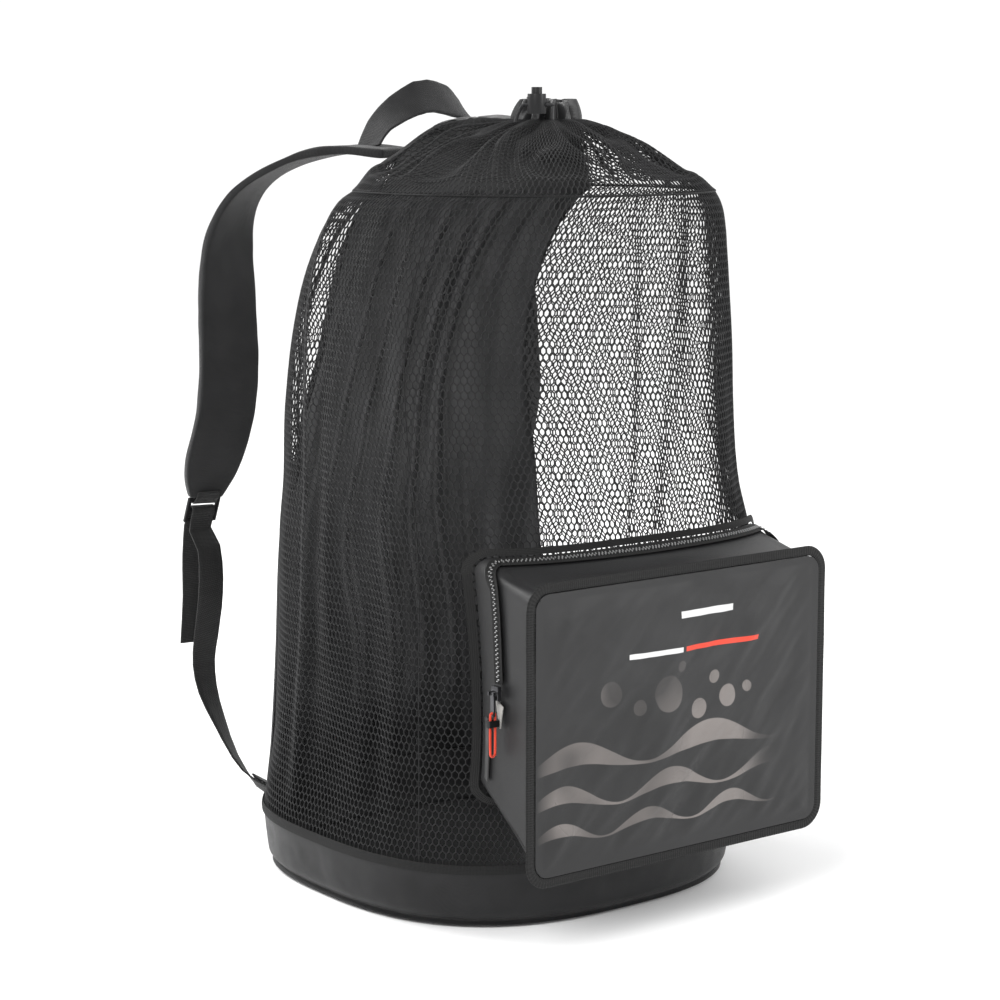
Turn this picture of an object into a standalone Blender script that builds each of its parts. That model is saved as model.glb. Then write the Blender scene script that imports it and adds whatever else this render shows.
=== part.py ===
"""Mesh dive gear bag: a drawcord-topped net sack on a nylon tub, with two padded
shoulder straps, a grab handle and a zipped front pocket.

Metres, +Z up. The origin is the middle of the flat bottom. The pocket faces -Y and the
straps are on the +Y side. Every cloth piece is an open surface thickened into its wall.
"""
import math
from collections import namedtuple

import bpy
import bmesh
from mathutils import Matrix, Vector

# Driving dimensions in metres
BAG_WIDTH = 0.410
FRONT_DEPTH = 0.212
BACK_DEPTH = 0.190
SHOULDER_HEIGHT = 0.640
TUB_HEIGHT = 0.056
COLLAR_HEIGHT = 0.706
COLLAR_RADIUS = 0.034
COLLAR_RISE = 0.018
COLLAR_LEAN = 0.047
NECK_LEAN = 0.024
PANEL_WIDTH = 0.340
NET_WALL = 0.0020
NYLON_WALL = 0.0020
GAP = 0.0003
SEAM_GAP = 0.0007
FACET_GAP = 0.0020
SEAT_GAP = 0.0013

SEAM_TAPE_WIDTH = 0.009
SEAM_TAPE_WALL = 0.0012

STRAP_SPREAD = 0.186
STRAP_REACH = 0.235
STRAP_WIDTH = 0.065
STRAP_THICKNESS = 0.009
STRAP_ROOT_OUT = 0.050
WEBBING_WIDTH = 0.025
WEBBING_THICKNESS = 0.0016
TAIL_LENGTH = 0.120
ANCHOR_WIDTH = 0.040
ANCHOR_LENGTH = 0.034
ANCHOR_TURN = 36.0
HANDLE_WIDTH = 0.033
HANDLE_THICKNESS = 0.003
HANDLE_PEAK = 0.741
HANDLE_END_OUT = 0.010
HANDLE_HALF_SPAN = 0.075
HANDLE_ROLL = 66.0

LOCK_WIDTH = 0.036
LOCK_LENGTH = 0.026
LOCK_THICKNESS = 0.003
LOCK_BAR = 0.004
LOCK_RIM = 0.004
LOOP_SEWN = 0.011
LOOP_EASE = 1.15
STRAP_ROOT_DROP = 0.004
POCKET_TOP_MIDDLE = 2.5
# The webbing's way to and from the buckle: shares of its length and of the turn
WEBBING_BELOW = ((-0.75, -1.25), (-0.35, -1.0))
WEBBING_FRONT = ((-0.35, 1.02), (-0.75, 1.5))

POCKET_WIDTH = 0.326
POCKET_DEPTH = 0.055
POCKET_FRONT_BOTTOM = 0.072
POCKET_FRONT_TOP = 0.316
POCKET_BACK_BOTTOM = 0.132
POCKET_BACK_TOP = 0.336
POCKET_CORNER = 0.014
POCKET_WALL = 0.0015
POCKET_BULGE = 0.005
POCKET_RIM = 0.95
POCKET_SAG = 0.006
BINDING_WIDTH = 0.009
BINDING_THICKNESS = 0.0026
BINDING_DROP = 0.0045

ZIP_TAPE_WIDTH = 0.011
ZIP_TAPE_THICKNESS = 0.0008
ZIP_TEETH_WIDTH = 0.0045
ZIP_TEETH_HEIGHT = 0.0018
SLIDER_LENGTH = 0.012
SLIDER_WIDTH = 0.009
SLIDER_HEIGHT = 0.004
EAR_THICKNESS = 0.0012
EAR_REACH = 0.0036
PULLER_LENGTH = 0.020
PULLER_WIDTH = 0.0046
PULLER_THICKNESS = 0.0016
PULLER_PIN = 0.0016
PULLER_EYE = 0.0032
CORD_LOOP_LENGTH = 0.038
CORD_LOOP_DIAMETER = 0.0026
CRIMP_LENGTH = 0.006
CRIMP_WALL = 0.0014
GARAGE_WIDTH = 0.012
GARAGE_WALL = 0.0010
SIDE_STRIP_WIDTH = 0.005

DRAWCORD_DIAMETER = 0.0030
DRAWCORD_TAIL = 0.022
BARREL_RADIUS = 0.0085
BARREL_HEIGHT = 0.018
BARREL_BORE = 0.0052
BARREL_FLOOR = 0.0016
PLUNGER_CLEARANCE = 0.0003
PLUNGER_PROUD = 0.006
PLUNGER_TRAVEL = 0.003

NET_COLUMNS = 44
BODY_ROWS = 10
PANEL_COLUMNS = 12
CROWN_ROWS = 5
PLEATS = 12
CROWN_BULGE = 1.25

# The sack's outline: lengths are shares of the sizes that their columns name
Section = namedtuple("Section", "height half_width front back front_square back_square lean")
BODY_SECTIONS = (
    Section(0.00, 1.010, 0.975, 1.040, 2.6, 2.8, 0.00),
    Section(0.09, 1.010, 0.980, 1.035, 2.8, 2.8, 0.00),
    Section(0.18, 0.998, 1.000, 1.000, 3.8, 2.7, 0.00),
    Section(0.32, 0.990, 1.000, 0.970, 4.5, 2.6, 0.00),
    Section(0.50, 0.975, 0.995, 0.940, 3.8, 2.6, 0.00),
    Section(0.58, 0.965, 0.990, 0.930, 3.0, 2.6, 0.10),
    Section(0.69, 0.955, 1.000, 0.935, 2.6, 2.6, 0.17),
    Section(0.84, 0.925, 0.965, 0.870, 2.6, 2.6, 0.33),
    Section(0.93, 0.888, 0.910, 0.790, 2.6, 2.6, 0.60),
    Section(0.985, 0.840, 0.870, 0.685, 2.5, 2.5, 0.83),
    Section(1.00, 0.820, 0.850, 0.640, 2.4, 2.4, 1.00),
)

# The nylon back panel's half width and how far it is drawn to +X, shares of PANEL_WIDTH
PanelEdge = namedtuple("PanelEdge", "height half_width shift")
PANEL_EDGES = (
    PanelEdge(0.00, 0.500, 0.00), PanelEdge(0.30, 0.485, 0.00), PanelEdge(0.50, 0.460, 0.00),
    PanelEdge(0.62, 0.410, 0.02), PanelEdge(0.77, 0.350, 0.04), PanelEdge(1.00, 0.345, 0.06),
)

# The tub's rounded bottom edge: share of the section's radius, share of TUB_HEIGHT
TubRing = namedtuple("TubRing", "radius height")
TUB_RINGS = (
    TubRing(0.45, 0.00), TubRing(0.88, 0.00), TubRing(0.950, 0.09),
    TubRing(0.988, 0.27), TubRing(1.0, 1.0),
)

# A shoulder strap's middle line: shares of STRAP_SPREAD, STRAP_REACH and
# SHOULDER_HEIGHT, and the turn of its width from the X axis in degrees
StrapStation = namedtuple("StrapStation", "side back height turn")
STRAP_STATIONS = (
    StrapStation(0.400, 0.540, 1.057, 22),
    StrapStation(0.561, 0.732, 1.044, 42),
    StrapStation(0.707, 0.838, 1.016, 42),
    StrapStation(0.820, 0.894, 0.972, 30),
    StrapStation(0.878, 0.889, 0.909, 14),
    StrapStation(0.912, 0.851, 0.816, 5),
    StrapStation(0.927, 0.830, 0.722, 2),
    StrapStation(0.946, 0.843, 0.656, 2),
    StrapStation(0.971, 0.885, 0.606, 0),
    StrapStation(0.980, 0.930, 0.566, 0),
    StrapStation(0.986, 0.962, 0.533, 0),
)

# The webbing below the strap's buckle, down to the tub: the same shares, and its turn
WEBBING_STATIONS = (
    StrapStation(0.978, 0.945, 0.455, -4),
    StrapStation(0.965, 0.948, 0.405, -10),
    StrapStation(0.955, 0.978, 0.360, -14),
    StrapStation(0.945, 1.025, 0.310, -10),
    StrapStation(0.930, 1.066, 0.268, 0),
    StrapStation(0.905, 1.070, 0.223, 14),
    StrapStation(0.865, 1.035, 0.175, 34),
    StrapStation(0.815, 0.975, 0.120, 52),
    StrapStation(0.745, 0.895, 0.085, 48),
)

# The webbing's loose tail below the buckle: shares of TAIL_LENGTH inwards, backwards, down
TailStation = namedtuple("TailStation", "side back fall")
TAIL_STATIONS = (
    TailStation(0.000, 0.035, 0.25), TailStation(0.025, 0.085, 0.60), TailStation(0.015, 0.115, 1.00),
)

# The grab handle between its sewn ends: shares of its half span, of BACK_DEPTH and of its
# rise to HANDLE_PEAK, and its roll from lying flat to standing on edge, in degrees
HandleStation = namedtuple("HandleStation", "side back rise roll")
HANDLE_STATIONS = (
    HandleStation(-0.74, 0.57, 0.36, 20),
    HandleStation(-0.52, 0.53, 0.72, 46),
    HandleStation(-0.24, 0.50, 0.98, 64),
    HandleStation(-0.08, 0.50, 1.00, HANDLE_ROLL),
    HandleStation(0.26, 0.52, 0.88, 62),
    HandleStation(0.55, 0.55, 0.68, 42),
    HandleStation(0.76, 0.58, 0.36, 18),
)

# Where the zip runs between the pocket's back seam (0) and its front seam (1), by the
# place along the pocket's edge: 0 to 1 up the side, 1 to 2 the corner, 2 to 3 the top
ZipStation = namedtuple("ZipStation", "along across")
ZIP_STATIONS = (
    ZipStation(0.57, 0.36), ZipStation(1.0, 0.35), ZipStation(1.5, 0.22),
    ZipStation(2.0, 0.12), ZipStation(2.5, 0.12), ZipStation(3.0, 0.12),
    ZipStation(3.5, 0.22), ZipStation(4.0, 0.35), ZipStation(4.43, 0.36),
)

# Derived places
LEAN_SIDE = Vector((0.79, -0.61, 0.0))
COLLAR_CENTRE = LEAN_SIDE * COLLAR_LEAN
POCKET_FRONT_Y = -(FRONT_DEPTH + POCKET_DEPTH)
WALL_BOTTOM = TUB_HEIGHT + SEAM_GAP
WALL_TOP = SHOULDER_HEIGHT - NET_WALL
UP = Vector((0.0, 0.0, 1.0))

for old in list(bpy.data.objects):
    bpy.data.objects.remove(old, do_unlink=True)

parts = bpy.data.collections.new("mesh_dive_bag")
cutters = bpy.data.collections.new("cutters")
bpy.context.scene.collection.children.link(parts)
bpy.context.scene.collection.children.link(cutters)


# Materials
def material(name, colour, roughness, metallic=0.0):
    made = bpy.data.materials.new(name)
    made.use_nodes = True
    shader = made.node_tree.nodes["Principled BSDF"]
    shader.inputs["Base Color"].default_value = (*colour, 1.0)
    shader.inputs["Roughness"].default_value = roughness
    shader.inputs["Metallic"].default_value = metallic
    return made


BLACK = (0.018, 0.018, 0.019)
NET = material("polyester_net", (0.022, 0.022, 0.023), 0.75)
NYLON = material("nylon_oxford", BLACK, 0.55)
POCKET_NYLON = material("coated_nylon", (0.030, 0.030, 0.032), 0.45)
STRAP_CLOTH = material("padded_strap_cloth", (0.020, 0.020, 0.021), 0.80)
WEBBING = material("polypropylene_webbing", (0.016, 0.016, 0.016), 0.65)
BINDING = material("binding_tape", (0.014, 0.014, 0.014), 0.70)
PLASTIC = material("acetal_plastic", (0.012, 0.012, 0.012), 0.35)
TEETH = material("zip_teeth_silver", (0.55, 0.55, 0.55), 0.35, 0.6)
GUNMETAL = material("puller_gunmetal", (0.08, 0.08, 0.085), 0.35, 0.9)
RED_CORD = material("red_cord", (0.75, 0.05, 0.02), 0.55)
GREY_NYLON = material("grey_satin_nylon", (0.35, 0.34, 0.33), 0.40)


# Tables and curves
def table_at(rows, key):
    """The row of a table at a key between its rows, along smooth curves."""
    keys = [row[0] for row in rows]
    key = min(max(key, keys[0]), keys[-1])
    i = 0
    while i < len(rows) - 2 and key > keys[i + 1]:
        i += 1
    span = keys[i + 1] - keys[i]
    t = (key - keys[i]) / span
    values = []
    for column in range(len(rows[0])):
        def slope(j):
            lo, hi = max(j - 1, 0), min(j + 1, len(rows) - 1)
            return (rows[hi][column] - rows[lo][column]) / (keys[hi] - keys[lo])
        p0, p1 = rows[i][column], rows[i + 1][column]
        m0, m1 = slope(i) * span, slope(i + 1) * span
        values.append((2 * t**3 - 3 * t**2 + 1) * p0 + (t**3 - 2 * t**2 + t) * m0
                      + (3 * t**2 - 2 * t**3) * p1 + (t**3 - t**2) * m1)
    return type(rows[0])(*values)


def smooth_through(points, step):
    """Points about a step apart on a smooth curve through the given points."""
    dense = [points[0].copy()]
    last = len(points) - 1
    for i in range(last):
        before, start = points[max(i - 1, 0)], points[i]
        end, after = points[i + 1], points[min(i + 2, last)]
        m0, m1 = (end - before) * 0.5, (after - start) * 0.5
        count = max(1, round((end - start).length / step))
        for k in range(1, count + 1):
            t = k / count
            dense.append((2 * t**3 - 3 * t**2 + 1) * start + (t**3 - 2 * t**2 + t) * m0
                         + (3 * t**2 - 2 * t**3) * end + (t**3 - t**2) * m1)
    return dense


# The sack's surface. An angle is 0 at the front and grows towards +X
def section_at(height):
    return table_at(BODY_SECTIONS, height / SHOULDER_HEIGHT)


def section_axes(section, front):
    half = section.half_width * BAG_WIDTH / 2
    if front:
        return half, section.front * FRONT_DEPTH, section.front_square
    return half, section.back * BACK_DEPTH, section.back_square


def body_centre(section, height):
    return LEAN_SIDE * (NECK_LEAN * section.lean) + UP * height


def body_point(angle, height, share=1.0, out=0.0):
    section = section_at(height)
    half, depth, square = section_axes(section, math.cos(angle) >= 0)
    sine, cosine = math.sin(angle), math.cos(angle)
    radius = (abs(sine / half)**square + abs(cosine / depth)**square)**(-1 / square)
    radius = radius * share + out
    return body_centre(section, height) + Vector((radius * sine, -radius * cosine, 0.0))


def front_y(x, height):
    """Y of the sack's front at a place across it."""
    section = section_at(height)
    centre = body_centre(section, height)
    half, depth, square = section_axes(section, True)
    share = min(abs(x - centre.x) / half, 0.99)
    return centre.y - depth * (1 - share**square)**(1 / square)


def panel_edge_angle(height, side):
    """The angle from the front to the back panel's edge on one side."""
    section = section_at(height)
    half, depth, square = section_axes(section, False)
    edge = table_at(PANEL_EDGES, height / SHOULDER_HEIGHT)
    across = min((edge.half_width + side * edge.shift) * PANEL_WIDTH, half * 0.96)
    back = depth * (1 - (across / half)**square)**(1 / square)
    return math.atan2(across, -back)


def angle_run(start, end, count):
    return [start + (end - start) * i / (count - 1) for i in range(count)]


def seam_angle(height, gap):
    section = section_at(height)
    return gap / (section.half_width * BAG_WIDTH / 2)


# The crown, from the shoulder's crease (0) to the drawn-in collar (1)
def pleat(angle):
    return math.cos(PLEATS * angle)


def collar_point(angle, rise, out_by=0.0):
    radius = COLLAR_RADIUS * (0.86 + 0.14 * pleat(angle)) * (1 + 0.10 * rise) + out_by
    out = Vector((math.sin(angle), -math.cos(angle), 0.0)) * radius
    return COLLAR_CENTRE + out + UP * (COLLAR_HEIGHT + COLLAR_RISE * rise)


def crown_point(angle, share):
    start = body_point(angle, SHOULDER_HEIGHT)
    end = collar_point(angle, 0.0)
    back = max(0.0, -math.cos(angle))
    bulge = CROWN_BULGE + 4.0 * back**2
    lift = 1.0 - (1.0 - share)**bulge
    fold = 0.0025 * pleat(angle) * math.sin(math.pi * share) * (1.0 - back)
    place = start.lerp(end, share)
    place.z = start.z + (end.z - start.z) * lift + fold
    return place


def crown_back_y(x, height):
    """Y of the crown's steep back at a place across it and a height."""
    share = 0.1
    angle = math.pi
    for _ in range(12):
        back = max(0.0, -math.cos(angle))
        level = (height - SHOULDER_HEIGHT) / (COLLAR_HEIGHT - SHOULDER_HEIGHT)
        share = 1.0 - (1.0 - min(max(level, 0.0), 0.98))**(1.0 / (CROWN_BULGE + 4.0 * back**2))
        lo, hi = math.pi / 2, 3 * math.pi / 2
        for _ in range(24):
            angle = (lo + hi) / 2
            if crown_point(angle, share).x > x:
                lo = angle
            else:
                hi = angle
    return crown_point(angle, share).y


# Pieces
def place_mesh(name, mesh, finish, collection=parts):
    mesh.materials.append(finish)
    piece = bpy.data.objects.new(name, mesh)
    collection.objects.link(piece)
    return piece


def smooth_sheet(name, grid, wrap, close_start, inside):
    """A mesh of one open sheet through rows of points, facing away from a point inside."""
    form = bmesh.new()
    rows = [[form.verts.new(point) for point in row] for row in grid]
    columns = len(rows[0])
    steps = columns if wrap else columns - 1
    for lower, upper in zip(rows, rows[1:]):
        for i in range(steps):
            j = (i + 1) % columns
            form.faces.new((lower[i], lower[j], upper[j], upper[i]))
    if close_start:
        form.faces.new(list(reversed(rows[0])))
    form.normal_update()
    if inside is not None:
        facing = 0.0
        for face in form.faces:
            facing += (face.calc_center_median() - inside).dot(face.normal) * face.calc_area()
        if facing < 0:
            bmesh.ops.reverse_faces(form, faces=form.faces[:])
    mesh = bpy.data.meshes.new(name)
    form.to_mesh(mesh)
    form.free()
    mesh.shade_smooth()
    return mesh


def cloth(name, grid, wall, finish, wrap=False, close_start=False, inside=None, middle=False):
    """A cloth piece: an open sheet given its wall, inwards or about its middle."""
    mesh = smooth_sheet(name, grid, wrap, close_start, inside)
    mesh.set_sharp_from_angle(angle=math.radians(50))
    piece = place_mesh(name, mesh, finish)
    shell = piece.modifiers.new("wall", "SOLIDIFY")
    shell.thickness = wall
    shell.offset = 0.0 if middle else -1.0
    return piece


def soften(piece, width, segments=2):
    rounding = piece.modifiers.new("soft edge", "BEVEL")
    rounding.width = width
    rounding.segments = segments
    rounding.limit_method = "ANGLE"
    rounding.angle_limit = math.radians(55)


def band_grid(middles, sides, width, columns=3):
    grid = []
    for middle, side in zip(middles, sides):
        grid.append([middle + side * (width * (k / (columns - 1) - 0.5)) for k in range(columns)])
    return grid


def square_sides(middles, sides):
    """Width directions made square to the line that they follow."""
    squared = []
    for i, side in enumerate(sides):
        run = middles[min(i + 1, len(middles) - 1)] - middles[max(i - 1, 0)]
        run.normalize()
        square = side - run * side.dot(run)
        squared.append(square.normalized())
    return squared


def box(name, size, place, finish, collection=parts):
    form = bmesh.new()
    bmesh.ops.create_cube(form, size=1.0)
    bmesh.ops.scale(form, vec=size, verts=form.verts)
    bmesh.ops.translate(form, vec=place, verts=form.verts)
    mesh = bpy.data.meshes.new(name)
    form.to_mesh(mesh)
    form.free()
    return place_mesh(name, mesh, finish, collection)


def cylinder(name, radius, low, high, centre, finish, collection=parts, sides=24):
    form = bmesh.new()
    bmesh.ops.create_cone(form, cap_ends=True, segments=sides, radius1=radius, radius2=radius,
                          depth=high - low)
    bmesh.ops.translate(form, vec=centre + UP * ((low + high) / 2), verts=form.verts)
    mesh = bpy.data.meshes.new(name)
    form.to_mesh(mesh)
    form.free()
    mesh.shade_smooth()
    mesh.set_sharp_from_angle(angle=math.radians(40))
    return place_mesh(name, mesh, finish, collection)


def cut(piece, cutter):
    cutter.hide_render = True
    cutter.display_type = "WIRE"
    hole = piece.modifiers.new("cut", "BOOLEAN")
    hole.operation = "DIFFERENCE"
    hole.object = cutter


def join(piece, other):
    other.hide_render = True
    other.display_type = "WIRE"
    union = piece.modifiers.new("join", "BOOLEAN")
    union.operation = "UNION"
    union.object = other


def cross_pin(name, radius, length, place, collection):
    """A round pin along Y."""
    piece = cylinder(name, radius, -length / 2, length / 2, Vector(), GUNMETAL, collection, 12)
    piece.data.transform(Matrix.Translation(place) @ Matrix.Rotation(math.pi / 2, 4, "X"))
    return piece


def cord(name, points, diameter, finish):
    curve = bpy.data.curves.new(name, "CURVE")
    curve.dimensions = "3D"
    curve.bevel_depth = diameter / 2
    curve.bevel_resolution = 2
    curve.use_fill_caps = True
    spline = curve.splines.new("POLY")
    spline.points.add(len(points) - 1)
    for knot, point in zip(spline.points, points):
        knot.co = (*point, 1.0)
    curve.materials.append(finish)
    piece = bpy.data.objects.new(name, curve)
    parts.objects.link(piece)
    return piece


def clear_of_sack(point, out):
    """The point, moved straight out where it is closer to the sack than it may be."""
    centre = body_centre(section_at(point.z), point.z)
    angle = math.atan2(point.x - centre.x, centre.y - point.y)
    limit = body_point(angle, point.z, out=out)
    if (point - centre).length < (limit - centre).length:
        return limit
    return point


def net_angles(height, columns=NET_COLUMNS, gap=None):
    gap = gap or seam_angle(height, SEAM_GAP / 2)
    left, right = panel_edge_angle(height, -1), panel_edge_angle(height, 1)
    return angle_run(gap - left, right - gap, columns)


def panel_angles(height, columns=PANEL_COLUMNS, gap=None):
    gap = gap or seam_angle(height, SEAM_GAP / 2)
    left, right = panel_edge_angle(height, -1), panel_edge_angle(height, 1)
    return angle_run(right + gap, 2 * math.pi - left - gap, columns)


# Tub: the solid nylon bottom with its rounded edge
def build_tub():
    angles = net_angles(TUB_HEIGHT) + panel_angles(TUB_HEIGHT)
    grid = []
    for ring in TUB_RINGS:
        height = ring.height * (TUB_HEIGHT - SEAM_GAP)
        row = [body_point(angle, height, ring.radius) for angle in angles]
        grid.append(row)
    inside = UP * TUB_HEIGHT
    cloth("base_tub", grid, NYLON_WALL, NYLON, wrap=True, close_start=True, inside=inside)

    tape = []
    for rise in (-0.5, 0.5):
        height = TUB_HEIGHT + SEAM_TAPE_WIDTH * rise
        out = 2 * GAP + SEAM_TAPE_WALL
        tape.append([body_point(angle, height, out=out) for angle in angles])
    cloth("base_seam_tape", tape, SEAM_TAPE_WALL, BINDING, wrap=True, inside=inside)


# Sack: the net wall round the front and sides, and the nylon panel at the back
def wall_heights():
    span = WALL_TOP - WALL_BOTTOM
    return [WALL_BOTTOM + span * i / (BODY_ROWS - 1) for i in range(BODY_ROWS)]


def build_sack():
    net, panel = [], []
    for height in wall_heights():
        net.append([body_point(angle, height) for angle in net_angles(height)])
        panel.append([body_point(angle, height) for angle in panel_angles(height)])
    inside = UP * (SHOULDER_HEIGHT / 2)
    cloth("mesh_wall", net, NET_WALL, NET, inside=inside)
    cloth("back_panel", panel, NYLON_WALL, NYLON, inside=inside)


# Crown: the gathered net, its nylon cap at the back, and the collar's hem
def build_crown():
    net, cap = [], []
    for i in range(CROWN_ROWS + 1):
        share = i / CROWN_ROWS
        gap = SEAM_GAP / (COLLAR_RADIUS + (BAG_WIDTH / 2 - COLLAR_RADIUS) * (1 - share)**2)
        net.append([crown_point(angle, share)
                    for angle in net_angles(SHOULDER_HEIGHT, 4 * PLEATS + 1, gap)])
        cap.append([crown_point(angle, share)
                    for angle in panel_angles(SHOULDER_HEIGHT, PANEL_COLUMNS + 4, gap)])
    inside = UP * (SHOULDER_HEIGHT / 2)
    cloth("mesh_crown", net, NET_WALL, NET, inside=inside)
    cloth("crown_cap", cap, NYLON_WALL, NYLON, inside=inside)

    angles = [2 * math.pi * i / (4 * PLEATS) for i in range(4 * PLEATS)]
    foot = SEAM_GAP / COLLAR_RISE
    hem = [[collar_point(angle, rise) for angle in angles]
           for rise in (foot, foot + (1 - foot) * 0.5, 1.0)]
    cloth("mouth_hem", hem, NYLON_WALL, NYLON, wrap=True,
          inside=COLLAR_CENTRE + UP * (COLLAR_HEIGHT + COLLAR_RISE / 2))


# Cord lock: a sprung barrel on the drawcord beside the hem
LOCK_ANGLE = math.radians(-50)
LOCK_OUT = Vector((math.sin(LOCK_ANGLE), -math.cos(LOCK_ANGLE), 0.0))
LOCK_ALONG = Vector((-LOCK_OUT.y, LOCK_OUT.x, 0.0))
BARREL_LOW = COLLAR_HEIGHT + 0.20 * COLLAR_RISE
BARREL_HIGH = BARREL_LOW + BARREL_HEIGHT
HEM_REACH = COLLAR_RADIUS * 1.10
BARREL_CENTRE = COLLAR_CENTRE + LOCK_OUT * (HEM_REACH + BARREL_RADIUS + GAP)
CORD_HEIGHT = BARREL_LOW + BARREL_HEIGHT * 0.45
CORD_START = math.radians(-30)


def turned_box(name, along, out, up, place, collection):
    """A box with one side along the cord's run through the lock."""
    form = bmesh.new()
    bmesh.ops.create_cube(form, size=1.0)
    for vertex in form.verts:
        shape = vertex.co
        vertex.co = (place + LOCK_ALONG * (shape.x * along) + LOCK_OUT * (shape.y * out)
                     + UP * (shape.z * up))
    form.normal_update()
    bmesh.ops.recalc_face_normals(form, faces=form.faces[:])
    mesh = bpy.data.meshes.new(name)
    form.to_mesh(mesh)
    form.free()
    return place_mesh(name, mesh, PLASTIC, collection)


def build_cord_lock():
    eye = DRAWCORD_DIAMETER + 2 * GAP
    barrel = cylinder("cord_lock_barrel", BARREL_RADIUS, BARREL_LOW, BARREL_HIGH,
                      BARREL_CENTRE, PLASTIC)
    cut(barrel, cylinder("barrel_bore", BARREL_BORE, BARREL_LOW + BARREL_FLOOR,
                         BARREL_HIGH + BARREL_BORE, BARREL_CENTRE, PLASTIC, cutters))
    cord_place = BARREL_CENTRE + UP * CORD_HEIGHT
    cut(barrel, turned_box("barrel_eye", BARREL_RADIUS * 3, eye, eye, cord_place, cutters))

    plunger_low = BARREL_LOW + BARREL_FLOOR + PLUNGER_TRAVEL + GAP
    plunger = cylinder("cord_lock_plunger", BARREL_BORE - PLUNGER_CLEARANCE, plunger_low,
                       BARREL_HIGH + PLUNGER_PROUD, BARREL_CENTRE, PLASTIC)
    slot = eye + PLUNGER_TRAVEL
    cut(plunger, turned_box("plunger_eye", BARREL_RADIUS * 3, eye, slot,
                            cord_place + UP * (PLUNGER_TRAVEL / 2), cutters))

    half = BARREL_RADIUS
    fall = DRAWCORD_TAIL
    rise = (CORD_HEIGHT - COLLAR_HEIGHT) / COLLAR_RISE
    route = [
        collar_point(CORD_START, rise, DRAWCORD_DIAMETER / 2 + SEAM_GAP),
        cord_place + LOCK_ALONG * (half * 1.6) - LOCK_OUT * (half * 0.15),
        cord_place + LOCK_ALONG * (half * 1.15),
        cord_place,
        cord_place - LOCK_ALONG * (half * 1.15),
        cord_place - LOCK_ALONG * (half * 1.6) - UP * (fall * 0.06),
        cord_place - LOCK_ALONG * (half * 2.05) - UP * (fall * 0.45) + LOCK_OUT * (fall * 0.10),
        cord_place - LOCK_ALONG * (half * 2.1) - UP * (fall * 0.74) + LOCK_OUT * (fall * 0.50),
    ]
    cord("drawcord", smooth_through(route, DRAWCORD_DIAMETER * 1.6), DRAWCORD_DIAMETER, NYLON)


# Shoulder straps, with buckles, webbing and the tabs that hold them at the tub
def strap_place(station, side):
    return Vector((side * station.side * STRAP_SPREAD, station.back * STRAP_REACH,
                   station.height * SHOULDER_HEIGHT))


def strap_side(station, side):
    turn = math.radians(station.turn)
    return Vector((math.cos(turn), -side * math.sin(turn), 0.0))


def follow(middles, sides, step):
    """A smooth line and its width directions, both at the same stations."""
    line = smooth_through(middles, step)
    widths = []
    for point in line:
        distances = [(point - middle).length for middle in middles]
        nearest = min(range(len(middles) - 1),
                      key=lambda i: distances[i] + distances[i + 1]
                      - (middles[i] - middles[i + 1]).length)
        share = distances[nearest] / (distances[nearest] + distances[nearest + 1])
        widths.append(sides[nearest].lerp(sides[nearest + 1], share).normalized())
    return line, square_sides(line, widths)


def strap_root(side):
    height = STRAP_STATIONS[0].height * SHOULDER_HEIGHT - STRAP_ROOT_DROP
    return Vector((side * STRAP_ROOT_OUT, crown_back_y(side * STRAP_ROOT_OUT, height), height))


def strap_line(side):
    """A strap's root, and its middle line with its width directions."""
    root = strap_root(side)
    middles = [root + Vector((0.0, STRAP_THICKNESS, 0.0))]
    widths = [Vector((1.0, 0.0, 0.0))]
    for station in STRAP_STATIONS:
        middles.append(strap_place(station, side))
        widths.append(strap_side(station, side))
    line, across = follow(middles, widths, 0.028)
    return root, line, across


def build_strap(name, side):
    root, line, across = strap_line(side)
    grid = band_grid(line, across, STRAP_WIDTH)
    # The sewn end follows the crown's back
    low = root.z - STRAP_THICKNESS / 2
    for point in grid[0]:
        seat = crown_back_y(point.x, low) + FACET_GAP
        point.y = max(seat, root.y - STRAP_THICKNESS)
        point.z = root.z
    # The lower end narrows to the buckle's loop
    for point in grid[-1]:
        point += (line[-1] - point) * 0.45
    for point in grid[-2]:
        point += (line[-2] - point) * 0.12
    piece = cloth(name, grid, STRAP_THICKNESS, STRAP_CLOTH, middle=True)
    soften(piece, STRAP_THICKNESS * 0.28)
    return line[-1], (line[-2] - line[-1]).normalized(), across[-1]


def local_path(origin, up, out, points):
    return [origin + up * point[0] + out * point[1] for point in points]


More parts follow.
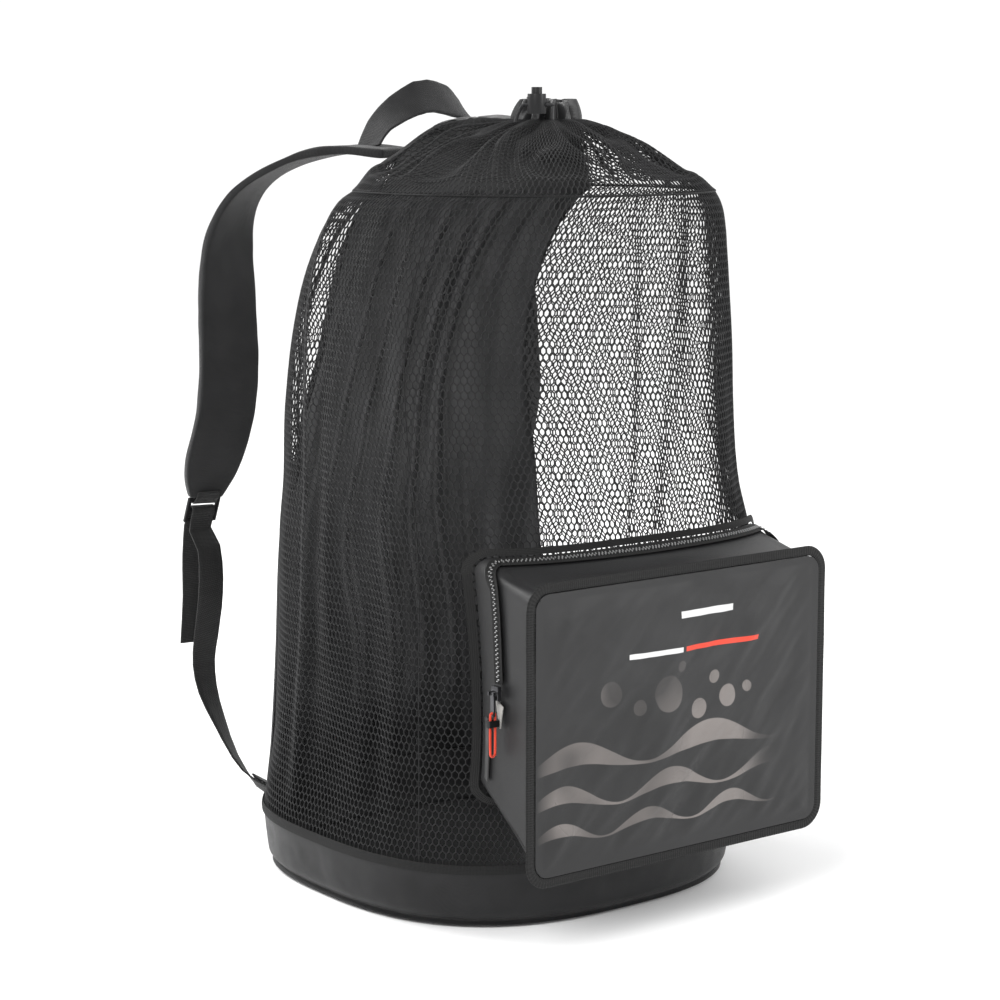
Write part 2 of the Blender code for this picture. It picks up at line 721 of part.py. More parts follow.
def build_buckle(suffix, side, strap_end, up, across):
    """The buckle below the strap: its three bars, the loop that holds it and the webbing."""
    out = up.cross(across).normalized()
    if out.y < 0:
        out.negate()
    centre = strap_end - up * (GAP + LOCK_LENGTH / 2)
    bar_at = (LOCK_LENGTH - LOCK_BAR) / 2
    slot = bar_at - LOCK_BAR
    form = bmesh.new()
    bmesh.ops.create_cube(form, size=1.0)
    mesh = bpy.data.meshes.new("ladder_lock_" + suffix)

    def shaped(shape, width, thick, long, at):
        return (centre + across * (shape.x * width) + out * (shape.y * thick)
                + up * (shape.z * long + at))

    for vertex in form.verts:
        vertex.co = shaped(vertex.co, LOCK_WIDTH, LOCK_THICKNESS, LOCK_LENGTH, 0.0)
    form.normal_update()
    bmesh.ops.recalc_face_normals(form, faces=form.faces[:])
    form.to_mesh(mesh)
    form.free()
    buckle = place_mesh("ladder_lock_" + suffix, mesh, PLASTIC)
    for word, at in (("upper", LOCK_BAR / 2 + slot / 2), ("lower", -LOCK_BAR / 2 - slot / 2)):
        tool = bmesh.new()
        bmesh.ops.create_cube(tool, size=1.0)
        for vertex in tool.verts:
            vertex.co = shaped(vertex.co, LOCK_WIDTH - 2 * LOCK_RIM, LOCK_THICKNESS * 3, slot, at)
        tool.normal_update()
        bmesh.ops.recalc_face_normals(tool, faces=tool.faces[:])
        hole = bpy.data.meshes.new("slot_" + word + suffix)
        tool.to_mesh(hole)
        tool.free()
        cut(buckle, place_mesh("slot_" + word + suffix, hole, PLASTIC, cutters))

    # The loop that the strap carries round the buckle's top bar
    leg = STRAP_THICKNESS / 2 + GAP + WEBBING_THICKNESS / 2
    turn = math.hypot(LOCK_BAR, LOCK_THICKNESS) / 2 + GAP + WEBBING_THICKNESS / 2
    half_loop = [(bar_at + LOOP_SEWN, leg + 2 * GAP), (bar_at + LOOP_SEWN * 0.36, leg),
                 (bar_at + LOOP_SEWN * 0.09, turn * LOOP_EASE)]
    under = [(bar_at - turn * math.sin(a), turn * math.cos(a))
             for a in angle_run(0.0, math.pi, 7)]
    loop = half_loop + under + [(s, -n) for s, n in reversed(half_loop)]
    loop_line = local_path(centre, up, out, loop)
    cloth("lock_loop_" + suffix, band_grid(loop_line, [across] * len(loop_line), WEBBING_WIDTH, 2),
          WEBBING_THICKNESS, WEBBING, middle=True)

    # The folded tab that is sewn into the tub's seam, with the webbing's end on it
    height = TUB_HEIGHT * 0.80
    angle = math.pi - side * math.radians(ANCHOR_TURN)
    surface = body_point(angle, height)
    outward = body_point(angle, height, out=1.0) - surface
    flat_on_tub = Vector((-outward.y, outward.x, 0.0)) * side
    tab_out = SEAM_TAPE_WALL + WEBBING_THICKNESS - GAP
    foot = surface + outward * tab_out
    run = (strap_place(WEBBING_STATIONS[-1], side) - foot).normalized()
    flat = (flat_on_tub * 0.75 - UP * 0.65)
    flat = (flat - run * flat.dot(run)).normalized()
    face = run.cross(flat).normalized()
    if face.dot(outward) < 0:
        face.negate()
    if flat.dot(strap_side(WEBBING_STATIONS[-1], side)) < 0:
        flat.negate()
    rows = ((0.0, ANCHOR_WIDTH), (0.5, (ANCHOR_WIDTH + WEBBING_WIDTH) / 2),
            (1.0, WEBBING_WIDTH))
    tab = []
    for share, width in rows:
        middle = foot + run * (ANCHOR_LENGTH * share)
        tab.append([clear_of_sack(middle + flat * (width * sign / 2), tab_out)
                    for sign in (-1, 1)])
    cloth("strap_anchor_" + suffix, tab, WEBBING_THICKNESS, NYLON, middle=True)

    # The webbing: from the tab, up behind the bars, over the middle one and down in front
    lift = face * (WEBBING_THICKNESS + SEAM_GAP)
    below = [(LOCK_LENGTH * s, turn * n) for s, n in WEBBING_BELOW]
    over = [(turn * math.sin(a), -turn * math.cos(a)) for a in angle_run(0.0, math.pi, 7)]
    front = [(LOCK_LENGTH * s, turn * n) for s, n in WEBBING_FRONT]
    middles = [foot + run * (ANCHOR_LENGTH * 0.18) + lift,
               foot + run * ANCHOR_LENGTH + lift * 1.3]
    widths = [flat, flat]
    for station in reversed(WEBBING_STATIONS[:-1]):
        middles.append(strap_place(station, side))
        widths.append(strap_side(station, side))
    middles += local_path(centre, up, out, below)
    widths += [across] * len(below)
    line, turned = follow(middles, widths, 0.018)
    webbing_out = tab_out + WEBBING_THICKNESS + SEAT_GAP
    grid_start = band_grid(line, turned, WEBBING_WIDTH, 2)
    for row in grid_start[:3]:
        row[:] = [clear_of_sack(point, webbing_out) for point in row]
    buckle_path = local_path(centre, up, out, over + front)
    end = buckle_path[-1]
    hang = [Vector((-side * share.side, share.back, -share.fall)) * TAIL_LENGTH
            for share in TAIL_STATIONS]
    tail_line = smooth_through([end] + [end + drop for drop in hang], 0.020)[1:]
    upper = buckle_path + tail_line
    grid = grid_start + band_grid(upper, [across] * len(upper), WEBBING_WIDTH, 2)
    cloth("webbing_" + suffix, grid, WEBBING_THICKNESS, WEBBING, middle=True)


# Grab handle, sewn down on the roots of both straps
def build_handle():
    ends = []
    for side in (-1, 1):
        line = strap_line(side)[1]
        lift = STRAP_THICKNESS / 2 + HANDLE_THICKNESS / 2 + SEAT_GAP
        ends.append(line[1] + UP * lift + Vector((side * HANDLE_END_OUT, 0.0, 0.0)))
    left, right = ends
    middles, widths = [left], [Vector((0.0, 1.0, 0.0))]
    base = (left.z + right.z) / 2
    crest = HANDLE_PEAK - HANDLE_WIDTH / 2 * math.sin(math.radians(HANDLE_ROLL)) - base
    for station in HANDLE_STATIONS:
        place = Vector((station.side * HANDLE_HALF_SPAN, station.back * BACK_DEPTH,
                        base + station.rise * crest))
        middles.append(place)
        roll = math.radians(station.roll)
        widths.append(Vector((0.0, math.cos(roll), math.sin(roll))))
    middles.append(right)
    widths.append(Vector((0.0, 1.0, 0.0)))
    line, turned = follow(middles, widths, 0.012)
    grid = band_grid(line, turned, HANDLE_WIDTH, 3)
    # The sewn ends lie flat on the straps
    for rows, end in ((grid[:4], left), (grid[-4:], right)):
        for row in rows:
            for point in row:
                point.z = max(point.z, end.z)
    cloth("grab_handle", grid, HANDLE_THICKNESS, STRAP_CLOTH, middle=True)


# Pocket: a box of coated nylon on the sack's front
def rect_loop(along, half, low, high, corner):
    """X and Z at a place along a rounded rectangle: up the left side, over and round."""
    part = int(along) % 8
    share = along - int(along)
    spots = ((-half, low + corner, -half, high - corner), (-half + corner, high - corner, 90),
             (-half + corner, high, half - corner, high), (half - corner, high - corner, 0),
             (half, high - corner, half, low + corner), (half - corner, low + corner, -90),
             (half - corner, low, -half + corner, low), (-half + corner, low + corner, 180))
    spot = spots[part]
    if len(spot) == 4:
        return spot[0] + (spot[2] - spot[0]) * share, spot[1] + (spot[3] - spot[1]) * share
    start = math.radians(spot[2] + 90)
    turn = start - share * math.pi / 2
    return spot[0] + corner * math.cos(turn), spot[1] + corner * math.sin(turn)


def pocket_point(along, across, out=0.0):
    """A place on the gusset: across is 0 on the sack and 1 at the front."""
    half = POCKET_WIDTH / 2

    def spot(share_across, share_along):
        low = POCKET_BACK_BOTTOM + (POCKET_FRONT_BOTTOM - POCKET_BACK_BOTTOM) * share_across
        high = POCKET_BACK_TOP + (POCKET_FRONT_TOP - POCKET_BACK_TOP) * share_across
        x, z = rect_loop(share_along, half, low, high, POCKET_CORNER)
        x_back, z_back = rect_loop(share_along, half, POCKET_BACK_BOTTOM, POCKET_BACK_TOP,
                                   POCKET_CORNER)
        inner = max(abs(x_back) - POCKET_WALL * 1.2, 0.0)
        back = front_y(math.copysign(inner, x_back), z_back) - FACET_GAP
        y = back + (POCKET_FRONT_Y + POCKET_WALL + 2 * SEAM_GAP - back) * share_across
        top = max(0.0, 1.0 - abs(share_along % 8 - POCKET_TOP_MIDDLE))
        z -= POCKET_SAG * top * math.sin(math.pi * share_across)
        return Vector((x, y, z))

    place = spot(across, along)
    if out == 0.0:
        return place
    reach = 0.01
    run = spot(across, along + reach) - spot(across, along - reach)
    rise = spot(min(across + reach, 1.0), along) - spot(max(across - reach, 0.0), along)
    return place + rise.cross(run).normalized() * out


def loop_places(top=8, side=4, corner=3):
    places = []
    for part in range(8):
        count = (side, corner, top, corner, side, corner, top, corner)[part]
        places += [part + (1 - math.cos(math.pi * i / count)) / 2 for i in range(count)]
    return places


def build_pocket():
    places = loop_places()
    inside = Vector((0.0, (POCKET_FRONT_Y - FRONT_DEPTH) / 2,
                     (POCKET_FRONT_BOTTOM + POCKET_FRONT_TOP) / 2))
    gusset = [[pocket_point(place, row / 4) for place in places] for row in range(5)]
    cloth("pocket_gusset", gusset, POCKET_WALL, POCKET_NYLON, wrap=True, inside=inside)

    # The front, puffed a little, inside its bound seam
    half = POCKET_WIDTH / 2
    middle_z = (POCKET_FRONT_BOTTOM + POCKET_FRONT_TOP) / 2
    front = []
    for share in (0.34, 0.62, 0.84, POCKET_RIM, 1.0):
        row = []
        for place in places:
            x, z = rect_loop(place, half, POCKET_FRONT_BOTTOM, POCKET_FRONT_TOP, POCKET_CORNER)
            puff = POCKET_BULGE * max(0.0, 1 - (share / POCKET_RIM)**2)
            row.append(Vector((x * share, POCKET_FRONT_Y - puff,
                               middle_z + (z - middle_z) * share)))
        front.append(row)
    cloth("pocket_front", front, POCKET_WALL, POCKET_NYLON, wrap=True, close_start=True,
          inside=inside + Vector((0.0, POCKET_DEPTH, 0.0)))

    # Tape bound round the front seam, standing out as a flat flange
    flange = []
    for reach in (GAP, BINDING_WIDTH / 2, BINDING_WIDTH):
        row = []
        for place in places:
            x, z = rect_loop(place, half + reach, POCKET_FRONT_BOTTOM - reach,
                             POCKET_FRONT_TOP + reach, POCKET_CORNER + reach)
            row.append(Vector((x, POCKET_FRONT_Y + POCKET_WALL / 2 + SEAM_GAP, z)))
        flange.append(row)
    cloth("pocket_front_binding", flange, BINDING_THICKNESS, BINDING, wrap=True, middle=True)

    # Tape that sews the gusset's back edge to the sack
    tape = []
    for reach in (SEAM_GAP * 2, SEAM_GAP * 2 + BINDING_WIDTH):
        row = []
        for place in places:
            x, z = rect_loop(place, half + reach, POCKET_BACK_BOTTOM - reach - BINDING_DROP,
                             POCKET_BACK_TOP + reach, POCKET_CORNER + reach)
            y = front_y(x, z) - FACET_GAP - SEAM_TAPE_WALL
            row.append(Vector((x, y, z)))
        tape.append(row)
    cloth("pocket_back_binding", tape, SEAM_TAPE_WALL, BINDING, wrap=True,
          inside=UP * middle_z)
    return inside


def zip_places():
    places = []
    for place in loop_places():
        if ZIP_STATIONS[0].along < place < ZIP_STATIONS[-1].along:
            places.append(place)
    return [ZIP_STATIONS[0].along] + places + [ZIP_STATIONS[-1].along]


def edge_row(along, across, width, out):
    """Two points across the gusset, a width apart."""
    depth = (pocket_point(along, 1.0) - pocket_point(along, 0.0)).length
    return [pocket_point(along, across + sign * width / 2 / depth, out) for sign in (-1, 1)]


def zip_strip(width, out):
    """Rows of two points along the zip, a width apart and raised from the gusset."""
    return [edge_row(place, table_at(ZIP_STATIONS, place).across, width, out)
            for place in zip_places()]


def build_zip(inside):
    tape_top = SEAM_GAP + ZIP_TAPE_THICKNESS
    teeth_top = tape_top + SEAM_GAP + ZIP_TEETH_HEIGHT
    cloth("zip_tape", zip_strip(ZIP_TAPE_WIDTH, tape_top), ZIP_TAPE_THICKNESS, BINDING,
          inside=inside)
    cloth("zip_teeth", zip_strip(ZIP_TEETH_WIDTH, teeth_top), ZIP_TEETH_HEIGHT, TEETH,
          inside=inside)

    # The slider, with two ears for the puller's pin
    start = ZIP_STATIONS[0]
    foot = pocket_point(start.along, start.across, tape_top)
    face_x = foot.x - 2 * GAP - SLIDER_HEIGHT
    low = foot.z - 2 * SEAM_GAP - SLIDER_LENGTH
    slider = box("zip_slider", (SLIDER_HEIGHT, SLIDER_WIDTH, SLIDER_LENGTH),
                 Vector((face_x + SLIDER_HEIGHT / 2, foot.y, low + SLIDER_LENGTH / 2)), GUNMETAL)
    pin = Vector((face_x - EAR_REACH / 2, foot.y, low + SLIDER_LENGTH * 0.5))
    ear_y = PULLER_WIDTH / 2 + GAP + EAR_THICKNESS / 2
    for word, sign in (("front", -1), ("back", 1)):
        ear = box("ear_" + word, (EAR_REACH * 1.5, EAR_THICKNESS, EAR_REACH),
                  pin + Vector((EAR_REACH * 0.05, sign * ear_y, 0.0)), GUNMETAL, cutters)
        join(slider, ear)
    cut(slider, cross_pin("pin_hole", PULLER_PIN / 2 + GAP, SLIDER_WIDTH * 2, pin, cutters))

    # The puller: a metal tab on its pin, its red cord loop and the crimp on the cord
    top = pin.z + PULLER_PIN * 0.7
    bottom = pin.z - PULLER_LENGTH
    tab = box("zip_puller", (PULLER_THICKNESS, PULLER_WIDTH, top - bottom),
              Vector((pin.x, pin.y, (top + bottom) / 2)), GUNMETAL)
    join(tab, cross_pin("pin", PULLER_PIN / 2, 2 * (ear_y + EAR_THICKNESS / 2), pin, cutters))
    eye = Vector((pin.x, pin.y, bottom + PULLER_EYE))
    hole = cylinder("puller_eye", PULLER_EYE / 2, -0.01, 0.01, Vector(), GUNMETAL, cutters, 12)
    hole.data.transform(Matrix.Translation(eye) @ Matrix.Rotation(math.pi / 2, 4, "Y"))
    cut(tab, hole)

    leg = PULLER_THICKNESS / 2 + 2 * GAP + CORD_LOOP_DIAMETER / 2
    loop_top = eye.z + PULLER_EYE / 2 - GAP - CORD_LOOP_DIAMETER / 2
    loop_low = loop_top - CORD_LOOP_LENGTH
    ring = []
    for a in angle_run(0.0, math.pi, 7):
        ring.append(Vector((pin.x + leg * math.cos(a), pin.y,
                            loop_top - leg * 0.6 * (1 - math.sin(a)))))
    for a in angle_run(math.pi, 2 * math.pi, 7):
        ring.append(Vector((pin.x + leg * math.cos(a), pin.y, loop_low + leg + leg * math.sin(a))))
    loop = cord("puller_cord", ring, CORD_LOOP_DIAMETER, RED_CORD)
    loop.data.splines[0].use_cyclic_u = True
    loop.data.use_fill_caps = False

    crimp_z = bottom - CRIMP_LENGTH
    crimp = box("cord_crimp", (leg * 2 + CORD_LOOP_DIAMETER + 2 * CRIMP_WALL,
                               CORD_LOOP_DIAMETER + 2 * CRIMP_WALL, CRIMP_LENGTH),
                Vector((pin.x, pin.y, crimp_z)), PLASTIC)
    cut(crimp, box("crimp_bore", (leg * 2 + CORD_LOOP_DIAMETER + 2 * GAP,
                                  CORD_LOOP_DIAMETER + 2 * GAP, CRIMP_LENGTH * 3),
                   Vector((pin.x, pin.y, crimp_z)), PLASTIC, cutters))

    # The satin tab below the slider, and the webbing strip beside the sack's seam
    garage = []
    for along, width in ((0.485, GARAGE_WIDTH), (0.37, GARAGE_WIDTH * 0.2)):
        garage.append(edge_row(along, ZIP_STATIONS[0].across, width, GAP * 2 + GARAGE_WALL))
    cloth("zip_end_tab", garage, GARAGE_WALL, GREY_NYLON, inside=inside)
    strip = [edge_row(along, 0.12, SIDE_STRIP_WIDTH, GAP * 2 + WEBBING_THICKNESS)
             for along in (0.04, 0.18, 0.34)]
    cloth("pocket_side_strip", strip, WEBBING_THICKNESS, WEBBING, inside=inside)


build_tub()
build_sack()
build_crown()
build_cord_lock()
for word, hand in (("left", -1), ("right", 1)):
    lower_end, upward, sideways = build_strap("shoulder_strap_" + word, hand)
    build_buckle(word, hand, lower_end, upward, sideways)
build_handle()
pocket_inside = build_pocket()
build_zip(pocket_inside)
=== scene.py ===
"""Mesh dive gear bag: the net sack, its nylon, straps and zipped pocket, in their finishes."""
import math

import bmesh
import bpy
from mathutils import Matrix, Vector, noise


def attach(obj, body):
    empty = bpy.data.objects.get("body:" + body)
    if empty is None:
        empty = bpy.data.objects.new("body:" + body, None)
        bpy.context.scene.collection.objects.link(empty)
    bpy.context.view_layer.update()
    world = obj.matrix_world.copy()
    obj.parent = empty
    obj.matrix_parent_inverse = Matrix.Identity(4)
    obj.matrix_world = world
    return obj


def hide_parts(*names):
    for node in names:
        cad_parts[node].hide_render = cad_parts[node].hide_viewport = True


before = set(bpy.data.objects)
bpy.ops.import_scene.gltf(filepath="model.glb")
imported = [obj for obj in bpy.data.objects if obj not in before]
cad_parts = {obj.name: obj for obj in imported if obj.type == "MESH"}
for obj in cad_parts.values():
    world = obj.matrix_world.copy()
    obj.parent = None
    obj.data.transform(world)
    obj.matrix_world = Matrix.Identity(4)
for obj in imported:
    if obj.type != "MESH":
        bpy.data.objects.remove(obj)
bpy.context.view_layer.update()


# Camera, floor and studio light: the bag stands on a white floor, seen from the left of its
# pocket and a little above, under three large soft lights from the left, the right and behind.
VIEW_AZIMUTH = math.radians(37.5)
VIEW_PITCH = math.radians(8.8)
CAMERA_PLACE = (-1.461, -1.904, 0.72)
CAMERA_LENS = 92.52
CAMERA_SHIFT = 0.004
WORLD_STRENGTH = 1.06
FLOOR_SIZE = 40.0
FLOOR_DROP = 0.001
bpy.ops.object.select_all(action="DESELECT")
bpy.ops.object.camera_add(location=CAMERA_PLACE,
                          rotation=(math.pi / 2 - VIEW_PITCH, 0.0, -VIEW_AZIMUTH))
camera = bpy.context.object
camera.data.lens = CAMERA_LENS
camera.data.sensor_width = 36.0
camera.data.shift_x = CAMERA_SHIFT
bpy.context.scene.camera = camera

STUDIO_LIGHTS = (
    # place, size, power, aims at
    ((-2.6, -1.2, 2.6), 2.2, 75.0, (0.0, 0.0, 0.35)),
    ((1.8, -2.6, 1.6), 1.8, 42.0, (0.0, -0.1, 0.30)),
    ((-1.2, 2.4, 2.0), 1.6, 55.0, (0.0, 0.0, 0.45)),
)
for place, size, power, aim in STUDIO_LIGHTS:
    bpy.ops.object.light_add(type="AREA", location=place)
    lamp = bpy.context.object
    lamp.data.shape = "DISK"
    lamp.data.size = size
    lamp.data.energy = power
    lamp.rotation_euler = (Vector(aim) - Vector(place)).to_track_quat("-Z", "Y").to_euler()


def given(node, values):
    """Set a shader node's inputs by their names."""
    for word, value in values.items():
        node.inputs[word].default_value = value


bpy.context.scene.view_settings.view_transform = "Standard"
world = bpy.data.worlds.new("studio")
bpy.context.scene.world = world
world.use_nodes = True
background = world.node_tree.nodes["Background"]
given(background, {"Color": (1.0, 1.0, 1.0, 1.0), "Strength": WORLD_STRENGTH})

bpy.ops.object.select_all(action="DESELECT")
bpy.ops.mesh.primitive_plane_add(size=FLOOR_SIZE, location=(0.0, 0.0, -FLOOR_DROP))
floor = bpy.context.object
floor.name = "studio_floor"
floor_paint = bpy.data.materials.new("studio_floor")
floor_paint.use_nodes = True
floor_shader = floor_paint.node_tree.nodes["Principled BSDF"]
given(floor_shader, {"Base Color": (0.97, 0.97, 0.97, 1.0), "Roughness": 0.9})
floor.data.materials.append(floor_paint)


# Net sack: knitted polyester net of upright six-sided cells, cut as three panels that meet in
# plain seams, from the tub to the shoulder crease. A flat field of cells is laid on the sack's
# drawn-in outline and made round strands. The other cloth is laid on the same outline.
UP = Vector((0.0, 0.0, 1.0))
BAG_WIDTH = 0.410
FRONT_DEPTH = 0.212
BACK_DEPTH = 0.190
SHOULDER_HEIGHT = 0.640
TUB_HEIGHT = 0.056
NECK_LEAN = 0.024
PANEL_WIDTH = 0.340
LEAN_SIDE = Vector((0.79, -0.61, 0.0))

# height share, half width, front, back, front squareness, back squareness, lean
SECTIONS = (
    (0.00, 1.010, 0.975, 1.040, 2.6, 2.8, 0.00), (0.09, 1.010, 0.980, 1.035, 2.8, 2.8, 0.00),
    (0.18, 0.998, 1.000, 1.000, 3.8, 2.7, 0.00), (0.32, 0.990, 1.000, 0.970, 4.5, 2.6, 0.00),
    (0.50, 0.975, 0.995, 0.940, 3.8, 2.6, 0.00), (0.58, 0.965, 0.990, 0.930, 3.0, 2.6, 0.10),
    (0.69, 0.955, 1.000, 0.935, 2.6, 2.6, 0.17), (0.84, 0.925, 0.965, 0.870, 2.6, 2.6, 0.33),
    (0.93, 0.888, 0.910, 0.790, 2.6, 2.6, 0.60), (0.985, 0.840, 0.870, 0.685, 2.5, 2.5, 0.83),
    (1.00, 0.820, 0.850, 0.640, 2.4, 2.4, 1.00),
)
# height share, half width and shift of the back panel as shares of its width
PANEL_EDGES = (
    (0.00, 0.500, 0.00), (0.30, 0.485, 0.00), (0.50, 0.460, 0.00),
    (0.62, 0.405, 0.03), (0.77, 0.350, 0.06), (1.00, 0.345, 0.085),
)


def curve_shares(t):
    """The shares of two ends and of their slopes, at t on a smooth curve between them."""
    return (2 * t**3 - 3 * t**2 + 1, t**3 - 2 * t**2 + t, 3 * t**2 - 2 * t**3, t**3 - t**2)


def table_at(rows, key):
    """The values of a table's row at a key between its rows, along smooth curves."""
    keys = [row[0] for row in rows]
    key = min(max(key, keys[0]), keys[-1])
    i = 0
    while i < len(rows) - 2 and key > keys[i + 1]:
        i += 1
    span = keys[i + 1] - keys[i]
    start, leave, end, arrive = curve_shares((key - keys[i]) / span)

    def slope(j, column):
        lo, hi = max(j - 1, 0), min(j + 1, len(rows) - 1)
        return (rows[hi][column] - rows[lo][column]) / (keys[hi] - keys[lo])

    return [start * rows[i][c] + leave * slope(i, c) * span
            + end * rows[i + 1][c] + arrive * slope(i + 1, c) * span
            for c in range(len(rows[0]))]


section_store = {}


def section_at(height):
    key = round(height, 4)
    if key not in section_store:
        section_store[key] = table_at(SECTIONS, key / SHOULDER_HEIGHT)
    return section_store[key]


def ring_radius(section, angle):
    _, half, front, back, front_square, back_square, _ = section
    facing = math.cos(angle) >= 0
    depth = front * FRONT_DEPTH if facing else back * BACK_DEPTH
    square = front_square if facing else back_square
    sine, cosine = abs(math.sin(angle)), abs(math.cos(angle))
    return ((sine / (half * BAG_WIDTH / 2))**square + (cosine / depth)**square)**(-1 / square)


def outward(angle):
    return Vector((math.sin(angle), -math.cos(angle), 0.0))


def body_centre(height):
    return LEAN_SIDE * (NECK_LEAN * section_at(height)[6]) + UP * height


def body_point(angle, height, out=0.0):
    return body_centre(height) + outward(angle) * (ring_radius(section_at(height), angle) + out)


def panel_edge(height, side):
    """The angle from the front to the back panel's edge on one side."""
    _, half_share, _, back_share, _, square, _ = section_at(height)
    half, depth = half_share * BAG_WIDTH / 2, back_share * BACK_DEPTH
    _, edge_half, shift = table_at(PANEL_EDGES, height / SHOULDER_HEIGHT)
    across = min((edge_half + side * shift) * PANEL_WIDTH, half * 0.96)
    return math.atan2(across, -depth * (1 - (across / half)**square)**(1 / square))


def even_angles(height, start, end, count):
    """Angles from start to end that are equally far apart along the sack's outline."""
    steps = 240
    angles = [start + (end - start) * i / steps for i in range(steps + 1)]
    points = [body_point(angle, height) for angle in angles]
    run = [0.0]
    for before, after in zip(points, points[1:]):
        run.append(run[-1] + (after - before).length)
    even, i = [], 0
    for k in range(count + 1):
        goal = run[-1] * k / count
        while i < steps - 1 and run[i + 1] < goal:
            i += 1
        t = (goal - run[i]) / (run[i + 1] - run[i])
        even.append(angles[i] + (angles[i + 1] - angles[i]) * min(t, 1.0))
    return even


def row_lookup(rows, low, high, start, end, columns=96):
    """A function from shares across and up to an angle and a height on the sack."""
    table = []
    for r in range(rows + 1):
        height = low + (high - low) * r / rows
        table.append(even_angles(height, start(height), end(height), columns))

    def at(across, up):
        row = min(int(up * rows), rows - 1)
        column = min(int(across * columns), columns - 1)
        s, t = up * rows - row, across * columns - column
        lower = table[row][column] * (1 - t) + table[row][column + 1] * t
        upper = table[row + 1][column] * (1 - t) + table[row + 1][column + 1] * t
        return lower * (1 - s) + upper * s, low + (high - low) * up

    return at


CREASE_ROUND = 0.005


def drift(x, y, z):
    """Smooth noise at a place, between -1 and 1."""
    return noise.noise(Vector((x, y, z)))


def soft_fold(angle, height):
    """How far the cloth stands in from the outline: long upright folds and slow swells."""
    rise = max(0.0, min(1.0, (height - TUB_HEIGHT) / 0.08))
    crease = max(0.0, min(1.0, (SHOULDER_HEIGHT - height) / 0.05))
    waver = drift(angle * 2.4, height * 3.0, 4.0)
    folds = math.sin(angle * 17.0 + waver * 5.0 + height * 3.0)
    swell = drift(angle * 3.0, height * 8.0, 9.0)
    side = 1.0 - max(0.0, math.cos(angle))**2
    rounding = CREASE_ROUND * max(0.0, 1.0 - (SHOULDER_HEIGHT - height) / 0.022)**2
    return (-(0.0026 * (1 - folds) * side + 0.0020 * (1 + swell)) * rise * (0.25 + 0.75 * crease)
            - rounding)


def only(piece):
    bpy.ops.object.select_all(action="DESELECT")
    piece.select_set(True)
    bpy.context.view_layer.objects.active = piece


def apply_all(piece):
    only(piece)
    for modifier in list(piece.modifiers):
        bpy.ops.object.modifier_apply(modifier=modifier.name)


def in_edit(piece, steps):
    only(piece)
    bpy.ops.object.mode_set(mode="EDIT")
    bpy.ops.mesh.select_all(action="SELECT")
    steps()
    bpy.ops.object.mode_set(mode="OBJECT")


def dress(piece, finish, slot, *nodes, body="bag"):
    """Give a piece its finish and its place among the model's nodes."""
    piece.data.materials.clear()
    piece.data.materials.append(finish)
    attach(piece, body)
    if nodes:
        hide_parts(*nodes)
    return piece


def finish_named(name, colour, roughness, sheen=0.0, metallic=0.0, specular=0.25):
    """A material of one colour, to be given its weave, ribs or grain."""
    made = bpy.data.materials.new(name)
    made.use_nodes = True
    shader = made.node_tree.nodes["Principled BSDF"]
    given(shader, {"Base Color": (*colour, 1.0), "Roughness": roughness, "Metallic": metallic,
                   "Specular IOR Level": specular, "Sheen Weight": sheen, "Sheen Roughness": 0.4})
    return made


def group_with(name, inputs, outputs):
    group = bpy.data.node_groups.new(name, "ShaderNodeTree")
    for word, kind, value in inputs:
        socket = group.interface.new_socket(word, in_out="INPUT", socket_type=kind)
        if value is not None:
            socket.default_value = value
    for word, kind in outputs:
        group.interface.new_socket(word, in_out="OUTPUT", socket_type=kind)
    return group, group.nodes.new("NodeGroupInput"), group.nodes.new("NodeGroupOutput")


def sum_of(tree, kind, *values):
    """One math node on sockets or numbers."""
    node = tree.nodes.new("ShaderNodeMath")
    node.operation = kind
    for socket, value in zip(node.inputs, values):
        if isinstance(value, (int, float)):
            socket.default_value = value
        else:
            tree.links.new(value, socket)
    return node.outputs[0]


# The weave of every cloth here: crossing yarns at a pitch, and slow rubbing marks, which the back
# panel's finish draws out into upright streaks of painted fold highlight
weave, weave_in, weave_out = group_with(
    "woven_cloth",
    (("Place", "NodeSocketVector", None), ("Pitch", "NodeSocketFloat", 0.0008),
     ("Slow", "NodeSocketFloat", 30.0), ("Stretch", "NodeSocketVector", (1.0, 1.0, 1.0))),
    (("Height", "NodeSocketFloat"), ("Mask", "NodeSocketFloat")))
split = weave.nodes.new("ShaderNodeSeparateXYZ")
weave.links.new(weave_in.outputs["Place"], split.inputs[0])
turn = sum_of(weave, "DIVIDE", 2 * math.pi, weave_in.outputs["Pitch"])
waves = []
for axis in ("X", "Y", "Z"):
    waves.append(sum_of(weave, "SINE", sum_of(weave, "MULTIPLY", split.outputs[axis], turn)))
crossed = sum_of(weave, "MULTIPLY", sum_of(weave, "ADD", waves[0], waves[1]), waves[2])
weave.links.new(crossed, weave_out.inputs["Height"])
slow = weave.nodes.new("ShaderNodeTexNoise")
slow.inputs["Detail"].default_value = 4.0
stretched = weave.nodes.new("ShaderNodeVectorMath")
stretched.operation = "MULTIPLY"
weave.links.new(weave_in.outputs["Place"], stretched.inputs[0])
weave.links.new(weave_in.outputs["Stretch"], stretched.inputs[1])
weave.links.new(stretched.outputs[0], slow.inputs["Vector"])
weave.links.new(weave_in.outputs["Slow"], slow.inputs["Scale"])
weave.links.new(slow.outputs["Fac"], weave_out.inputs["Mask"])


